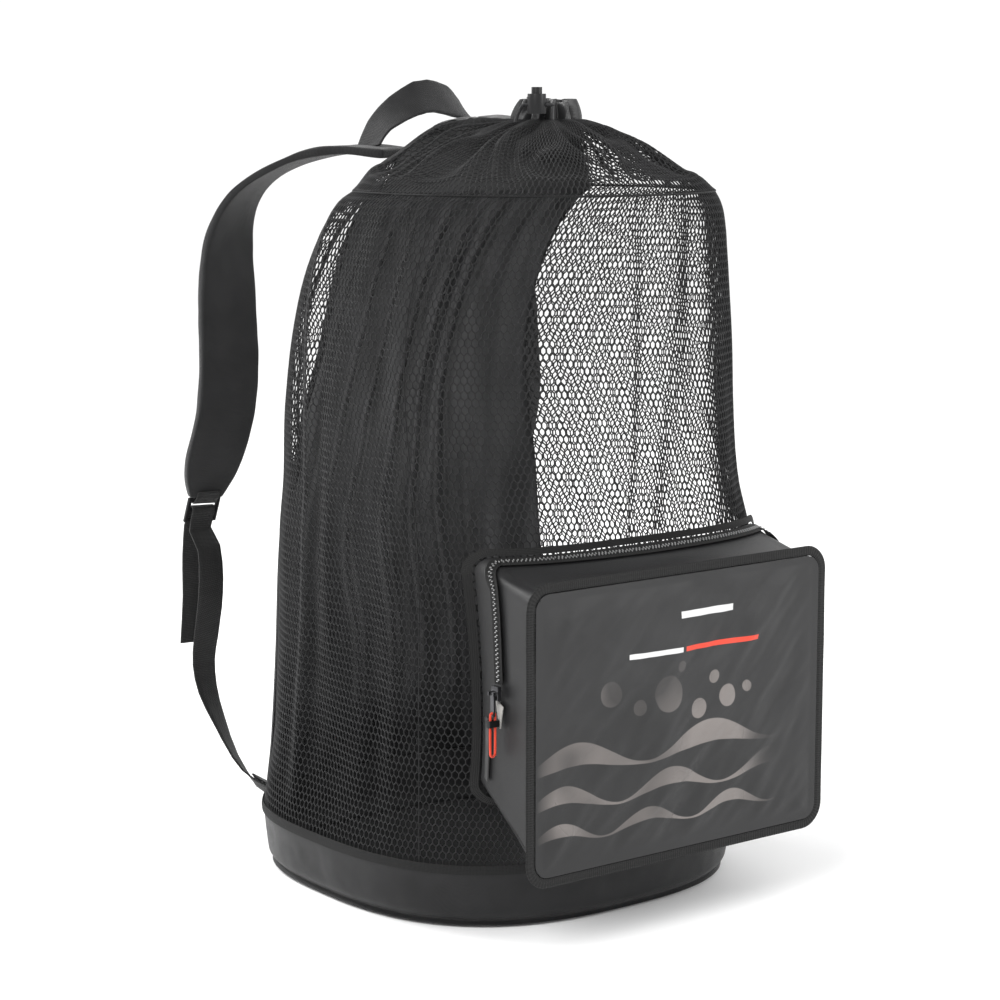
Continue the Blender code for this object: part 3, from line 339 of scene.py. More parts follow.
def toned(made, value, low, high, darker, lighter):
    """Turn a finish from dark to light as a value goes from low to high."""
    tree = made.node_tree
    colour = tree.nodes["Principled BSDF"].inputs["Base Color"]
    tone = tree.nodes.new("ShaderNodeMapRange")
    given(tone, {"From Min": low, "From Max": high})
    tree.links.new(value, tone.inputs["Value"])
    mix = tree.nodes.new("ShaderNodeMix")
    mix.data_type = "RGBA"
    given(mix, {"A": darker, "B": lighter})
    tree.links.new(tone.outputs["Result"], mix.inputs["Factor"])
    tree.links.new(mix.outputs["Result"], colour)


def shade_of(colour, share):
    return (*[part * share for part in colour], 1.0)


def bumped(made, height, strength, distance):
    """Give a finish its relief from a height."""
    tree = made.node_tree
    bump = tree.nodes.new("ShaderNodeBump")
    given(bump, {"Strength": strength, "Distance": distance})
    tree.links.new(height, bump.inputs["Height"])
    tree.links.new(bump.outputs["Normal"], tree.nodes["Principled BSDF"].inputs["Normal"])


def woven(name, colour, roughness, pitch=0.0008, depth=0.3, lighter=1.6, slow_scale=30.0,
          stretch=(1.0, 1.0, 1.0), **more):
    """A cloth finish with the shared weave in its bump and its colour."""
    made = finish_named(name, colour, roughness, **more)
    tree = made.node_tree
    place = tree.nodes.new("ShaderNodeTexCoord").outputs["Object"]
    cloth = tree.nodes.new("ShaderNodeGroup")
    cloth.node_tree = weave
    given(cloth, {"Pitch": pitch, "Slow": slow_scale, "Stretch": stretch})
    tree.links.new(place, cloth.inputs["Place"])
    toned(made, cloth.outputs["Mask"], 0.3, 0.7, shade_of(colour, 0.8), shade_of(colour, lighter))
    bumped(made, cloth.outputs["Height"], depth, pitch * 0.3)
    return made


CELL_WIDTH = 0.0060
CELL_ROW = 0.0064
CELL_POINT = 0.0046
STRAND = 0.0016
net_cloth = woven("polyester_net", (0.011, 0.011, 0.0115), 0.55, pitch=0.0009, depth=0.5,
                  lighter=1.5, sheen=0.03)


def net_field(name, width, height, place):
    """Six-sided cells over a width and a height of flat net, laid at place and made strands."""
    bpy.ops.object.select_all(action="DESELECT")
    bpy.ops.mesh.primitive_circle_add(vertices=6, radius=1.0, fill_type="NGON")
    net = bpy.context.object
    net.name = name
    for vertex in net.data.vertices:
        if abs(vertex.co.x) < 0.1:
            vertex.co.y = math.copysign(CELL_POINT, vertex.co.y)
        else:
            vertex.co.x = math.copysign(CELL_WIDTH / 2, vertex.co.x)
            vertex.co.y = math.copysign(CELL_ROW - CELL_POINT, vertex.co.y)
    in_edit(net, lambda: bpy.ops.mesh.duplicate_move(
        TRANSFORM_OT_translate={"value": (CELL_WIDTH / 2, CELL_ROW, 0.0)}))
    columns, rows = math.ceil(width / CELL_WIDTH) + 2, math.ceil(height / CELL_ROW / 2) + 2
    for word, count, step in (("across", columns, (CELL_WIDTH, 0, 0)),
                              ("up", rows, (0, 2 * CELL_ROW, 0))):
        copies = net.modifiers.new(word, "ARRAY")
        copies.count = count
        copies.use_relative_offset = False
        copies.use_constant_offset = True
        copies.constant_offset_displace = step
    apply_all(net)

    def trim():
        bpy.ops.mesh.remove_doubles(threshold=0.0002)
        for point, normal in (((CELL_WIDTH / 4, 0, 0), (-1, 0, 0)),
                              ((CELL_WIDTH / 4 + width, 0, 0), (1, 0, 0)),
                              ((0, CELL_ROW / 4, 0), (0, -1, 0)),
                              ((0, CELL_ROW / 4 + height, 0), (0, 1, 0))):
            bpy.ops.mesh.select_all(action="SELECT")
            bpy.ops.mesh.bisect(plane_co=point, plane_no=normal, clear_outer=True)

    in_edit(net, trim)
    for vertex in net.data.vertices:
        across = min(max((vertex.co.x - CELL_WIDTH / 4) / width, 0.0), 1.0)
        up = min(max((vertex.co.y - CELL_ROW / 4) / height, 0.0), 1.0)
        vertex.co = place(across, up)
    strands = net.modifiers.new("strands", "WIREFRAME")
    strands.thickness = STRAND
    strands.offset = 0.0
    strands.use_even_offset = False
    strands.use_boundary = True
    apply_all(net)
    bpy.ops.object.shade_smooth()
    return net


NET_LOW = TUB_HEIGHT + 0.0012
NET_HIGH = SHOULDER_HEIGHT - 0.001
MEAN_RADIUS = 0.205
GIRTH_SHARE = 0.78
SEAM_TURN = 0.002
NET_PANELS = (("net_left", -1.0, -0.42), ("net_front", -0.42, 0.42), ("net_right", 0.42, 1.0))


def net_turn(share, height):
    """The angle at a share of the way from the front to the back panel's edge."""
    side = 1 if share > 0 else -1
    return share * (panel_edge(height, side) - SEAM_TURN)


for name, first, last in NET_PANELS:
    lookup = row_lookup(40, NET_LOW, NET_HIGH, lambda h, s=first: net_turn(s, h),
                        lambda h, s=last: net_turn(s, h))
    length = (math.pi * MEAN_RADIUS) * (last - first) * GIRTH_SHARE

    def on_sack(across, up, lookup=lookup):
        angle, height = lookup(across, up)
        return body_point(angle, height, soft_fold(angle, height) - STRAND / 2)

    panel = net_field(name, length, NET_HIGH - NET_LOW, on_sack)
    dress(panel, net_cloth, "polyester_net", "mesh_wall")


# Back panel: black nylon oxford at the wearer's back, sewn to the net along both edges. Inside
# the sack it hangs in long upright folds that catch the light through the net; its finish adds
# painted highlights along the folds as long light streaks.
def laid(name, columns, rows, place, closed=False):
    """A grid sheet whose point at shares (across, up) lies at place(across, up)."""
    bpy.ops.object.select_all(action="DESELECT")
    bpy.ops.mesh.primitive_grid_add(x_subdivisions=columns, y_subdivisions=rows, size=1.0)
    piece = bpy.context.object
    piece.name = name
    for vertex in piece.data.vertices:
        across = min(max(vertex.co.x + 0.5, 0.0), 1.0)
        up = min(max(vertex.co.y + 0.5, 0.0), 1.0)
        vertex.co = place(across, up)
    if closed:
        in_edit(piece, lambda: bpy.ops.mesh.remove_doubles(threshold=0.00005))
    return piece


def walled(piece, wall, offset=-1.0):
    """Give a laid sheet its thickness, inward unless the offset says otherwise."""
    shell = piece.modifiers.new("wall", "SOLIDIFY")
    shell.thickness = wall
    shell.offset = offset
    apply_all(piece)
    bpy.ops.object.shade_smooth_by_angle(angle=math.radians(40))
    return piece


nylon = woven("nylon_oxford", (0.0105, 0.0105, 0.011), 0.32, pitch=0.0009, depth=0.25, lighter=1.5,
              sheen=0.05, specular=0.55)
panel_lookup = row_lookup(40, NET_LOW, NET_HIGH + 0.002, lambda h: panel_edge(h, 1) + SEAM_TURN,
                          lambda h: 2 * math.pi - panel_edge(h, -1) - SEAM_TURN)


def on_back(across, up):
    angle, height = panel_lookup(across, up)
    ends = math.sin(math.pi * across)**0.5
    waver = drift(across * 3.0, height * 3.5, 2.0)
    fold = math.sin(across * 52.0 + waver * 6.0)
    wrinkle = drift(across * 12.0, height * 16.0, 5.0)
    depth = (0.0052 * (1 - fold) + 0.0018 * (1 + wrinkle)) * ends * min(1.0, (1 - up) * 8 + 0.2)
    return body_point(angle, height, -depth * min(1.0, up * 8))


back_cloth = walled(laid("back_panel_cloth", 150, 90, on_back), 0.0015)
# Painted highlights: the slow tone is stretched into upright streaks up to four times as light as the
# cloth, standing in for light on the folds.
fold_highlight_nylon = woven("nylon_oxford_fold_highlights", (0.0105, 0.0105, 0.011), 0.30, pitch=0.0009,
                     depth=0.25, lighter=4.0, slow_scale=46.0, stretch=(1.0, 1.0, 0.10),
                     sheen=0.05, specular=0.55)
dress(back_cloth, fold_highlight_nylon, "nylon_oxford", "back_panel")


# Crown: the net gathered from the shoulder crease to the drawn-in mouth, and the nylon panel
# carried on over the top as a wrinkled cap. The gathers deepen towards the collar.
COLLAR_HEIGHT = 0.706
COLLAR_RADIUS = 0.034
COLLAR_RISE = 0.018
COLLAR_CENTRE = LEAN_SIDE * 0.047
PLEATS = 12
CROWN_BULGE = 1.25
CROWN_NET = (0.88, 0.165)
EDGE_LEFT = panel_edge(SHOULDER_HEIGHT, -1)
EDGE_RIGHT = panel_edge(SHOULDER_HEIGHT, 1)
CAP_TUCK = 0.004


def collar_point(angle, rise, out_by=0.0):
    radius = COLLAR_RADIUS * (0.86 + 0.14 * math.cos(PLEATS * angle)) * (1 + 0.10 * rise) + out_by
    return COLLAR_CENTRE + outward(angle) * radius + UP * (COLLAR_HEIGHT + COLLAR_RISE * rise)


def crown_point(angle, share):
    start = body_point(angle, SHOULDER_HEIGHT, -CREASE_ROUND)
    end = collar_point(angle, 0.0)
    back = max(0.0, -math.cos(angle))
    lift = 1.0 - (1.0 - share)**(CROWN_BULGE + 4.0 * back**2)
    fold = 0.0025 * math.cos(PLEATS * angle) * math.sin(math.pi * share) * (1.0 - back)
    place = start.lerp(end, share)
    place.z = start.z + (end.z - start.z) * lift + fold
    place.z += 0.0035 * math.sin(math.pi * min(1.0, share / 0.22)) ** 2
    return place


def on_crown(across, up):
    angle = -EDGE_LEFT + (EDGE_LEFT + EDGE_RIGHT) * across
    share = up**0.92
    place = crown_point(angle, share)
    waver = drift(angle * 2.2, share * 2.5, 3.0)
    gather = math.sin(angle * 26.0 + waver * 7.0 + share * 2.0)
    place.z += 0.0028 * gather * math.sin(math.pi * min(1.0, share * 1.05)) - 0.0022 * share
    return place


crown_net = net_field("net_crown", *CROWN_NET, on_crown)
dress(crown_net, net_cloth, "polyester_net", "mesh_crown")


def on_cap(across, up):
    turn = 2 * math.pi - EDGE_LEFT - EDGE_RIGHT - 2 * CAP_TUCK
    angle = EDGE_RIGHT + CAP_TUCK + turn * across
    place = crown_point(angle, up)
    middle = math.sin(math.pi * across)
    crumple = drift(place.x * 38.0, place.y * 30.0, 1.0)
    ridges = 1 - abs(drift(place.x * 22.0, place.y * 60.0, 6.0)) * 3
    place.z += (0.0042 * crumple + 0.0020 * max(ridges, 0.0)) * math.sin(math.pi * up) - 0.001 * up
    place.z -= 0.0045 * max(0.0, 1.0 - up * 8)
    return place - outward(angle) * (0.0012 * middle * (1 + crumple))


cap_cloth = walled(laid("crown_cap_cloth", 110, 50, on_cap), 0.0014)
dress(cap_cloth, nylon, "nylon_oxford", "crown_cap")


# Mouth hem: a doubled nylon channel for the drawcord, pulled together in fine pleats. It is
# drawn in towards its top, and the pleats lean with the pull of the cord.
def on_hem(across, up):
    angle = 2 * math.pi * across
    waver = drift(math.sin(angle) * 2.0, math.cos(angle) * 2.0, 7.0)
    slow = drift(math.sin(angle) * 0.9, math.cos(angle) * 0.9, 3.0)
    place = collar_point(angle + 0.25 * up, 1.24 * up - 0.24, 0.0014 * (1 - up))
    deep = 0.5 + 0.5 * drift(math.sin(angle) * 5.0, math.cos(angle) * 5.0, up)
    fine = math.sin(angle * 21.0 + 6.0 * waver + up * 2.5)
    place += outward(angle) * (0.0022 * deep * (fine - 1) - 0.0095 * up**1.4)
    place.z += (0.0030 * waver + 0.0035 * slow - 0.0015) * up
    return place


hem_cloth = walled(laid("mouth_hem_cloth", 360, 22, on_hem, closed=True), 0.0016)
dress(hem_cloth, nylon, "nylon_oxford", "mouth_hem")


# Drawcord and its lock: a 3 mm braided cord leaves the hem, passes through the sprung lock and
# hangs down over the net in a short tail.
LOCK_ANGLE = math.radians(-50)
LOCK_OUT = outward(LOCK_ANGLE)
LOCK_ALONG = Vector((-LOCK_OUT.y, LOCK_OUT.x, 0.0))
CORD_DIAMETER = 0.0030
BARREL_RADIUS = 0.0085
BARREL_HEIGHT = 0.018
BARREL_LOW = COLLAR_HEIGHT + 0.20 * COLLAR_RISE
BARREL_CENTRE = COLLAR_CENTRE + LOCK_OUT * (COLLAR_RADIUS * 1.10 + BARREL_RADIUS + 0.0003)
CORD_HEIGHT = BARREL_LOW + BARREL_HEIGHT * 0.45
CORD_FALL = 0.022


def smooth_through(points, step):
    """Points about a step apart on a smooth curve through the given points."""
    dense = [points[0].copy()]
    last = len(points) - 1
    for i in range(last):
        start, end = points[i], points[i + 1]
        m0 = (end - points[max(i - 1, 0)]) * 0.5
        m1 = (points[min(i + 2, last)] - start) * 0.5
        count = max(1, round((end - start).length / step))
        for k in range(1, count + 1):
            shares = curve_shares(k / count)
            dense.append(shares[0] * start + shares[1] * m0 + shares[2] * end + shares[3] * m1)
    return dense


cord_place = BARREL_CENTRE + UP * CORD_HEIGHT
cord_rise = (CORD_HEIGHT - COLLAR_HEIGHT) / COLLAR_RISE
cord_route = [
    collar_point(math.radians(-30), cord_rise, CORD_DIAMETER / 2 + 0.0007),
    cord_place + LOCK_ALONG * (BARREL_RADIUS * 1.6) - LOCK_OUT * (BARREL_RADIUS * 0.15),
    cord_place + LOCK_ALONG * (BARREL_RADIUS * 1.15),
    cord_place,
    cord_place - LOCK_ALONG * (BARREL_RADIUS * 1.15),
    cord_place - LOCK_ALONG * (BARREL_RADIUS * 1.6) - UP * (CORD_FALL * 0.06),
    cord_place - LOCK_ALONG * (BARREL_RADIUS * 2.05) - UP * (CORD_FALL * 0.45)
    + LOCK_OUT * (CORD_FALL * 0.10),
    cord_place - LOCK_ALONG * (BARREL_RADIUS * 2.1) - UP * (CORD_FALL * 0.74)
    + LOCK_OUT * (CORD_FALL * 0.50),
]
cord_line = smooth_through(cord_route, CORD_DIAMETER * 0.5)
cord_curve = bpy.data.curves.new("drawcord_braid", "CURVE")
cord_curve.dimensions = "3D"
cord_curve.bevel_depth = CORD_DIAMETER / 2
cord_curve.bevel_resolution = 4
cord_curve.use_fill_caps = True
spline = cord_curve.splines.new("POLY")
spline.points.add(len(cord_line) - 1)
for knot, point in zip(spline.points, cord_line):
    knot.co = (*point, 1.0)
cord_piece = bpy.data.objects.new("drawcord_braid", cord_curve)
bpy.context.scene.collection.objects.link(cord_piece)
cord_braid = woven("drawcord_braid", (0.02, 0.02, 0.021), 0.6, pitch=0.0012, depth=0.8)
dress(cord_piece, cord_braid, "nylon_oxford", "drawcord")


def copied(node, name):
    """A copy of one of the model's own pieces, under a name of its own."""
    piece = bpy.data.objects.new(name, bpy.data.objects[node].data.copy())
    bpy.context.scene.collection.objects.link(piece)
    return piece


def rounded(node, name, edge, finish, slot, body="bag"):
    """A copy of a hard node with its flats cleaned and its edges rounded."""
    piece = copied(node, name)

    def clean():
        bpy.ops.mesh.remove_doubles(threshold=0.00002)
        bpy.ops.mesh.dissolve_limited(angle_limit=math.radians(2))

    in_edit(piece, clean)
    rounding = piece.modifiers.new("rounding", "BEVEL")
    rounding.width = edge
    rounding.segments = 3
    rounding.limit_method = "ANGLE"
    rounding.angle_limit = math.radians(35)
    apply_all(piece)
    bpy.ops.object.shade_smooth_by_angle(angle=math.radians(40))
    return dress(piece, finish, slot, node, body=body)


MOULDED_GRAIN = 0.15


def moulded(name, colour, roughness, metallic=0.0):
    """A moulded or plated finish with fine grain, and handling marks in its roughness."""
    made = finish_named(name, colour, roughness, metallic=metallic)
    tree = made.node_tree
    shader = tree.nodes["Principled BSDF"]
    place = tree.nodes.new("ShaderNodeTexCoord").outputs["Object"]
    marks = tree.nodes.new("ShaderNodeTexNoise")
    given(marks, {"Scale": 240.0, "Detail": 5.0})
    tree.links.new(place, marks.inputs["Vector"])
    spread = tree.nodes.new("ShaderNodeMapRange")
    given(spread, {"To Min": roughness * 0.75, "To Max": min(1.0, roughness * 1.4)})
    tree.links.new(marks.outputs["Fac"], spread.inputs["Value"])
    tree.links.new(spread.outputs["Result"], shader.inputs["Roughness"])
    bumped(made, marks.outputs["Fac"], MOULDED_GRAIN, 0.0002)
    return made


acetal = moulded("acetal_plastic", (0.009, 0.009, 0.0095), 0.32)
rounded("cord_lock_barrel", "lock_barrel_moulding", 0.0008, acetal, "acetal_plastic")
rounded("cord_lock_plunger", "lock_button_moulding", 0.0010, acetal, "acetal_plastic",
        body="lock_button")


# Tub: the solid nylon bottom with a rounded lower edge, and the tape sewn over its seam with
# the net. The cloth is slightly slack between the seam and the floor.
TUB_RINGS = ((0.0, 0.0, 0.0), (0.16, 0.88, 0.0), (0.30, 0.950, 0.09), (0.48, 0.988, 0.27),
             (1.0, 1.0, 1.0))
TUB_CLEAR = 0.0007
TUB_GIRTH = 1.26


def on_tub(across, up):
    angle = 2 * math.pi * across
    _, share, level = table_at(TUB_RINGS, up)
    share = max(share, 0.0)
    height = max(0.0, level) * (TUB_HEIGHT - TUB_CLEAR)
    slack = drift(math.sin(angle) * 5, math.cos(angle) * 5, height * 30)
    crease = drift(math.sin(angle) * 16, math.cos(angle) * 16, height * 60)
    reach = ring_radius(section_at(height), angle) * share
    wall = math.sin(math.pi * min(1.0, max(0.0, level)))
    reach -= wall * (0.0014 * (1 + slack) + 0.0005 * (1 + crease))
    return body_centre(height) + outward(angle) * reach


tub_cloth = laid("base_tub_cloth", 288, 40, on_tub, closed=True)
walled(tub_cloth, 0.0018)
tub_nylon = woven("tub_nylon", (0.0085, 0.0085, 0.009), 0.48, pitch=0.0009, depth=0.3, lighter=1.4,
                  sheen=0.1)
dress(tub_cloth, tub_nylon, "nylon_oxford", "base_tub")


RIB_DEPTH = 0.7


def ribbed(name, colour, roughness, along_pitch=0.0011):
    """A narrow-woven tape's finish: ribs across its length, read from its own UV map in metres."""
    made = finish_named(name, colour, roughness)
    tree = made.node_tree
    place = tree.nodes.new("ShaderNodeUVMap").outputs["UV"]
    parts = tree.nodes.new("ShaderNodeSeparateXYZ")
    tree.links.new(place, parts.inputs[0])
    turns = 2 * math.pi / along_pitch
    ribs = sum_of(tree, "SINE", sum_of(tree, "MULTIPLY", parts.outputs["X"], turns))
    yarns = sum_of(tree, "SINE", sum_of(tree, "MULTIPLY", parts.outputs["Y"], turns * 0.8))
    height = sum_of(tree, "ADD", ribs, sum_of(tree, "MULTIPLY", yarns, 0.5))
    # Painted light and shade: the colour follows the ribs' height, lighter on the rib tops and darker
    # in the grooves.
    toned(made, height, -1.5, 1.5, shade_of(colour, 0.6), shade_of(colour, 1.6))
    bumped(made, height, RIB_DEPTH, 0.0003)
    return made


def metre_map(piece, width, length):
    """Scale a laid grid's own UV map to metres: X along its length, Y across its width."""
    layer = piece.data.uv_layers[0].data
    for corner in layer:
        corner.uv = (corner.uv[0] * length, corner.uv[1] * width)


tape_finish = ribbed("binding_tape", (0.007, 0.007, 0.007), 0.65)
TAPE_WIDTH = 0.009


def on_seam(across, up):
    angle = 2 * math.pi * across
    height = TUB_HEIGHT + TAPE_WIDTH * (up - 0.5)
    swell = 0.0006 * math.sin(math.pi * up)
    return body_point(angle, height, 0.0015 + swell)


seam_cloth = laid("base_seam_binding", 288, 6, on_seam, closed=True)
metre_map(seam_cloth, TAPE_WIDTH, TUB_GIRTH)
walled(seam_cloth, 0.0010)
dress(seam_cloth, tape_finish, "binding_tape", "base_seam_tape")


# Straps, handle, webbing and their loops: smooth copies of the model's cloth. Long edges keep
# their line while the run of the cloth is rounded, and the surface gets its small creases.
def softened(node, name, finish, slot, levels=2, crease=1.0, ripple=0.0006, scale=30.0):
    """A copy of a cloth node, rounded along its run, with small creases in its surface."""
    piece = copied(node, name)

    def clean():
        bpy.ops.mesh.remove_doubles(threshold=0.00002)
        bpy.ops.mesh.tris_convert_to_quads(face_threshold=math.radians(60),
                                           shape_threshold=math.radians(60))
        bpy.ops.mesh.select_all(action="DESELECT")
        bpy.ops.mesh.edges_select_sharp(sharpness=math.radians(50))
        if crease:
            bpy.ops.transform.edge_crease(value=crease)

    in_edit(piece, clean)
    rounding = piece.modifiers.new("rounding", "SUBSURF")
    rounding.levels = levels
    rounding.render_levels = levels
    apply_all(piece)
    outs = [vertex.normal.copy() for vertex in piece.data.vertices]
    for vertex, out in zip(piece.data.vertices, outs):
        spot = vertex.co * scale
        vertex.co += out * ((noise.noise(spot) + 0.4 * noise.noise(spot * 2.3)) * ripple)
    bpy.ops.object.shade_smooth_by_angle(angle=math.radians(50))
    return dress(piece, finish, slot, node)


strap_cloth = woven("padded_strap_cloth", (0.0085, 0.0085, 0.009), 0.72, pitch=0.0011, depth=0.5,
                    lighter=1.5, sheen=0.25)
belt = woven("polypropylene_webbing", (0.0075, 0.0075, 0.0075), 0.6, pitch=0.0016, depth=0.8,
             lighter=1.4, sheen=0.1)
for hand in ("left", "right"):
    pad = softened("shoulder_strap_" + hand, "strap_pad_" + hand, strap_cloth,
                   "padded_strap_cloth", levels=3, crease=0.35, ripple=0.0012, scale=22.0)
    belt_run = softened("webbing_" + hand, "belt_" + hand, belt, "polypropylene_webbing",
                        ripple=0.0003)
    loop = softened("lock_loop_" + hand, "buckle_loop_" + hand, belt, "polypropylene_webbing",
                    ripple=0.0002)
    tab = softened("strap_anchor_" + hand, "anchor_tab_" + hand, nylon, "nylon_oxford",
                   ripple=0.0003)
    rounded("ladder_lock_" + hand, "ladder_lock_moulding_" + hand, 0.0008, acetal,
            "acetal_plastic")
handle = softened("grab_handle", "handle_band", strap_cloth, "padded_strap_cloth", levels=3,
                  crease=0.8, ripple=0.0008, scale=40.0)
HANDLE_SEWN_FROM = 0.052
HANDLE_SEWN_RUN = 0.022
HANDLE_SEWN_DROP = 0.0075
for vertex in handle.data.vertices:
    sewn = min(max((abs(vertex.co.x) - HANDLE_SEWN_FROM) / HANDLE_SEWN_RUN, 0.0), 1.0)
    vertex.co.z -= HANDLE_SEWN_DROP * sewn * sewn


# Front pocket: a box of coated nylon. Its gusset is sewn to the sack, its front is bound on all
# round, and the coating gives both a satin face with soft slanting wrinkles.
POCKET_WIDTH = 0.326
POCKET_FRONT_Y = -0.267
POCKET_FRONT_BOTTOM, POCKET_FRONT_TOP = 0.072, 0.316
POCKET_BACK_BOTTOM, POCKET_BACK_TOP = 0.132, 0.336
POCKET_CORNER = 0.014
POCKET_WALL = 0.0015
POCKET_SAG = 0.006
SEAM_GAP = 0.0007
FACET_GAP = 0.0020
GUSSET_MIDDLE = Vector((0.0, -0.24, 0.2))
TOP_MIDDLE = 2.5
POCKET_SHEET = 0.0013


def rect_loop(along, half, low, high, corner):
    """X and Z at a place along a rounded rectangle: up the left side, over and round."""
    part = int(along) % 8
    share = along - int(along)
    spots = ((-half, low + corner, -half, high - corner), (-half + corner, high - corner, 90),
             (-half + corner, high, half - corner, high), (half - corner, high - corner, 0),
             (half, high - corner, half, low + corner), (half - corner, low + corner, -90),
             (half - corner, low, -half + corner, low), (-half + corner, low + corner, 180))
    spot = spots[part]
    if len(spot) == 4:
        return spot[0] + (spot[2] - spot[0]) * share, spot[1] + (spot[3] - spot[1]) * share
    turned = math.radians(spot[2] + 90) - share * math.pi / 2
    return spot[0] + corner * math.cos(turned), spot[1] + corner * math.sin(turned)


def loop_place(share):
    """A place along the pocket's edge, evenly spaced by length, for a share of the way round."""
    sides = (POCKET_FRONT_TOP - POCKET_FRONT_BOTTOM - 2 * POCKET_CORNER,
             POCKET_CORNER * math.pi / 2, POCKET_WIDTH - 2 * POCKET_CORNER,
             POCKET_CORNER * math.pi / 2) * 2
    goal = share * sum(sides)
    for part, length in enumerate(sides):
        if goal <= length:
            return part + goal / length
        goal -= length
    return 8.0 - 1e-6


def front_y(x, height):
    section = section_at(height)
    centre = body_centre(height)
    share = min(abs(x - centre.x) / (section[1] * BAG_WIDTH / 2), 0.99)
    return centre.y - section[2] * FRONT_DEPTH * (1 - share**section[4])**(1 / section[4])


def pocket_point(along, across, out=0.0):
    """A place on the gusset: across is 0 on the sack and 1 at the front."""
    def spot(share_across, share_along):
        low = POCKET_BACK_BOTTOM + (POCKET_FRONT_BOTTOM - POCKET_BACK_BOTTOM) * share_across
        high = POCKET_BACK_TOP + (POCKET_FRONT_TOP - POCKET_BACK_TOP) * share_across
        x, z = rect_loop(share_along, POCKET_WIDTH / 2, low, high, POCKET_CORNER)
        x_back, z_back = rect_loop(share_along, POCKET_WIDTH / 2, POCKET_BACK_BOTTOM,
                                   POCKET_BACK_TOP, POCKET_CORNER)
        inner = max(abs(x_back) - POCKET_WALL * 1.2, 0.0)
        back = front_y(math.copysign(inner, x_back), z_back) - FACET_GAP
        y = back + (POCKET_FRONT_Y + POCKET_WALL + 2 * SEAM_GAP - back) * share_across
        top = max(0.0, 1.0 - abs(share_along % 8 - TOP_MIDDLE))
        return Vector((x, y, z - POCKET_SAG * top * math.sin(math.pi * share_across)))

    place = spot(across, along)
    if out == 0.0:
        return place
    reach = 0.01
    run = spot(across, along + reach) - spot(across, along - reach)
    rise = spot(min(across + reach, 1.0), along) - spot(max(across - reach, 0.0), along)
    return place + rise.cross(run).normalized() * out


def on_gusset(across, up):
    along = loop_place(across)
    place = pocket_point(along, up)
    inward = (GUSSET_MIDDLE - place) * Vector((1, 0, 1))
    buckle = drift(along * 2.6, up * 2.2, 3.0)
    return place + inward.normalized() * (0.0016 * (1 + buckle) * math.sin(math.pi * up))


def coated_nylon(name):
    return woven(name, (0.011, 0.011, 0.0115), 0.38, pitch=0.0007, depth=0.2, lighter=1.25,
                 slow_scale=14.0, sheen=0.02, specular=0.36)


gusset = laid("pocket_gusset_cloth", 420, 26, on_gusset, closed=True)
in_edit(gusset, bpy.ops.mesh.flip_normals)
walled(gusset, POCKET_SHEET)
dress(gusset, coated_nylon("coated_nylon"), "coated_nylon", "pocket_gusset")


# Pocket front: coated nylon sewn into the gusset's edge, with a screen print in satin grey swells
# and bubbles over the lower left, and plain stripes above, one of them white and orange-red.
PRINT_GREY = (0.165, 0.148, 0.140)
PRINT_ORANGE = (0.62, 0.045, 0.02)
PRINT_WHITE = (0.62, 0.62, 0.62)
PRINT_LEFT, PRINT_RIGHT = -0.152, 0.088
# x, z, radius in metres
BUBBLES = ((-0.020, 0.214, 0.016), (0.016, 0.196, 0.009), (-0.052, 0.206, 0.007),
           (0.034, 0.222, 0.006), (-0.084, 0.222, 0.011), (0.050, 0.203, 0.010),
           (-0.004, 0.236, 0.005), (0.074, 0.208, 0.005))
# height, swell, length, shift, thickness
SWELLS = ((0.172, 0.013, 0.150, 0.3, 0.020), (0.138, 0.011, 0.118, 2.4, 0.015),
          (0.108, 0.009, 0.096, 4.2, 0.011))
# x from, x to, z, half height, colour
STRIPES = ((-0.004, 0.058, 0.281, 0.0030, PRINT_WHITE),
           (-0.062, -0.004, 0.251, 0.0022, PRINT_WHITE),
           (0.000, 0.086, 0.251, 0.0022, PRINT_ORANGE))
STRIPE_SOFT = 0.0004


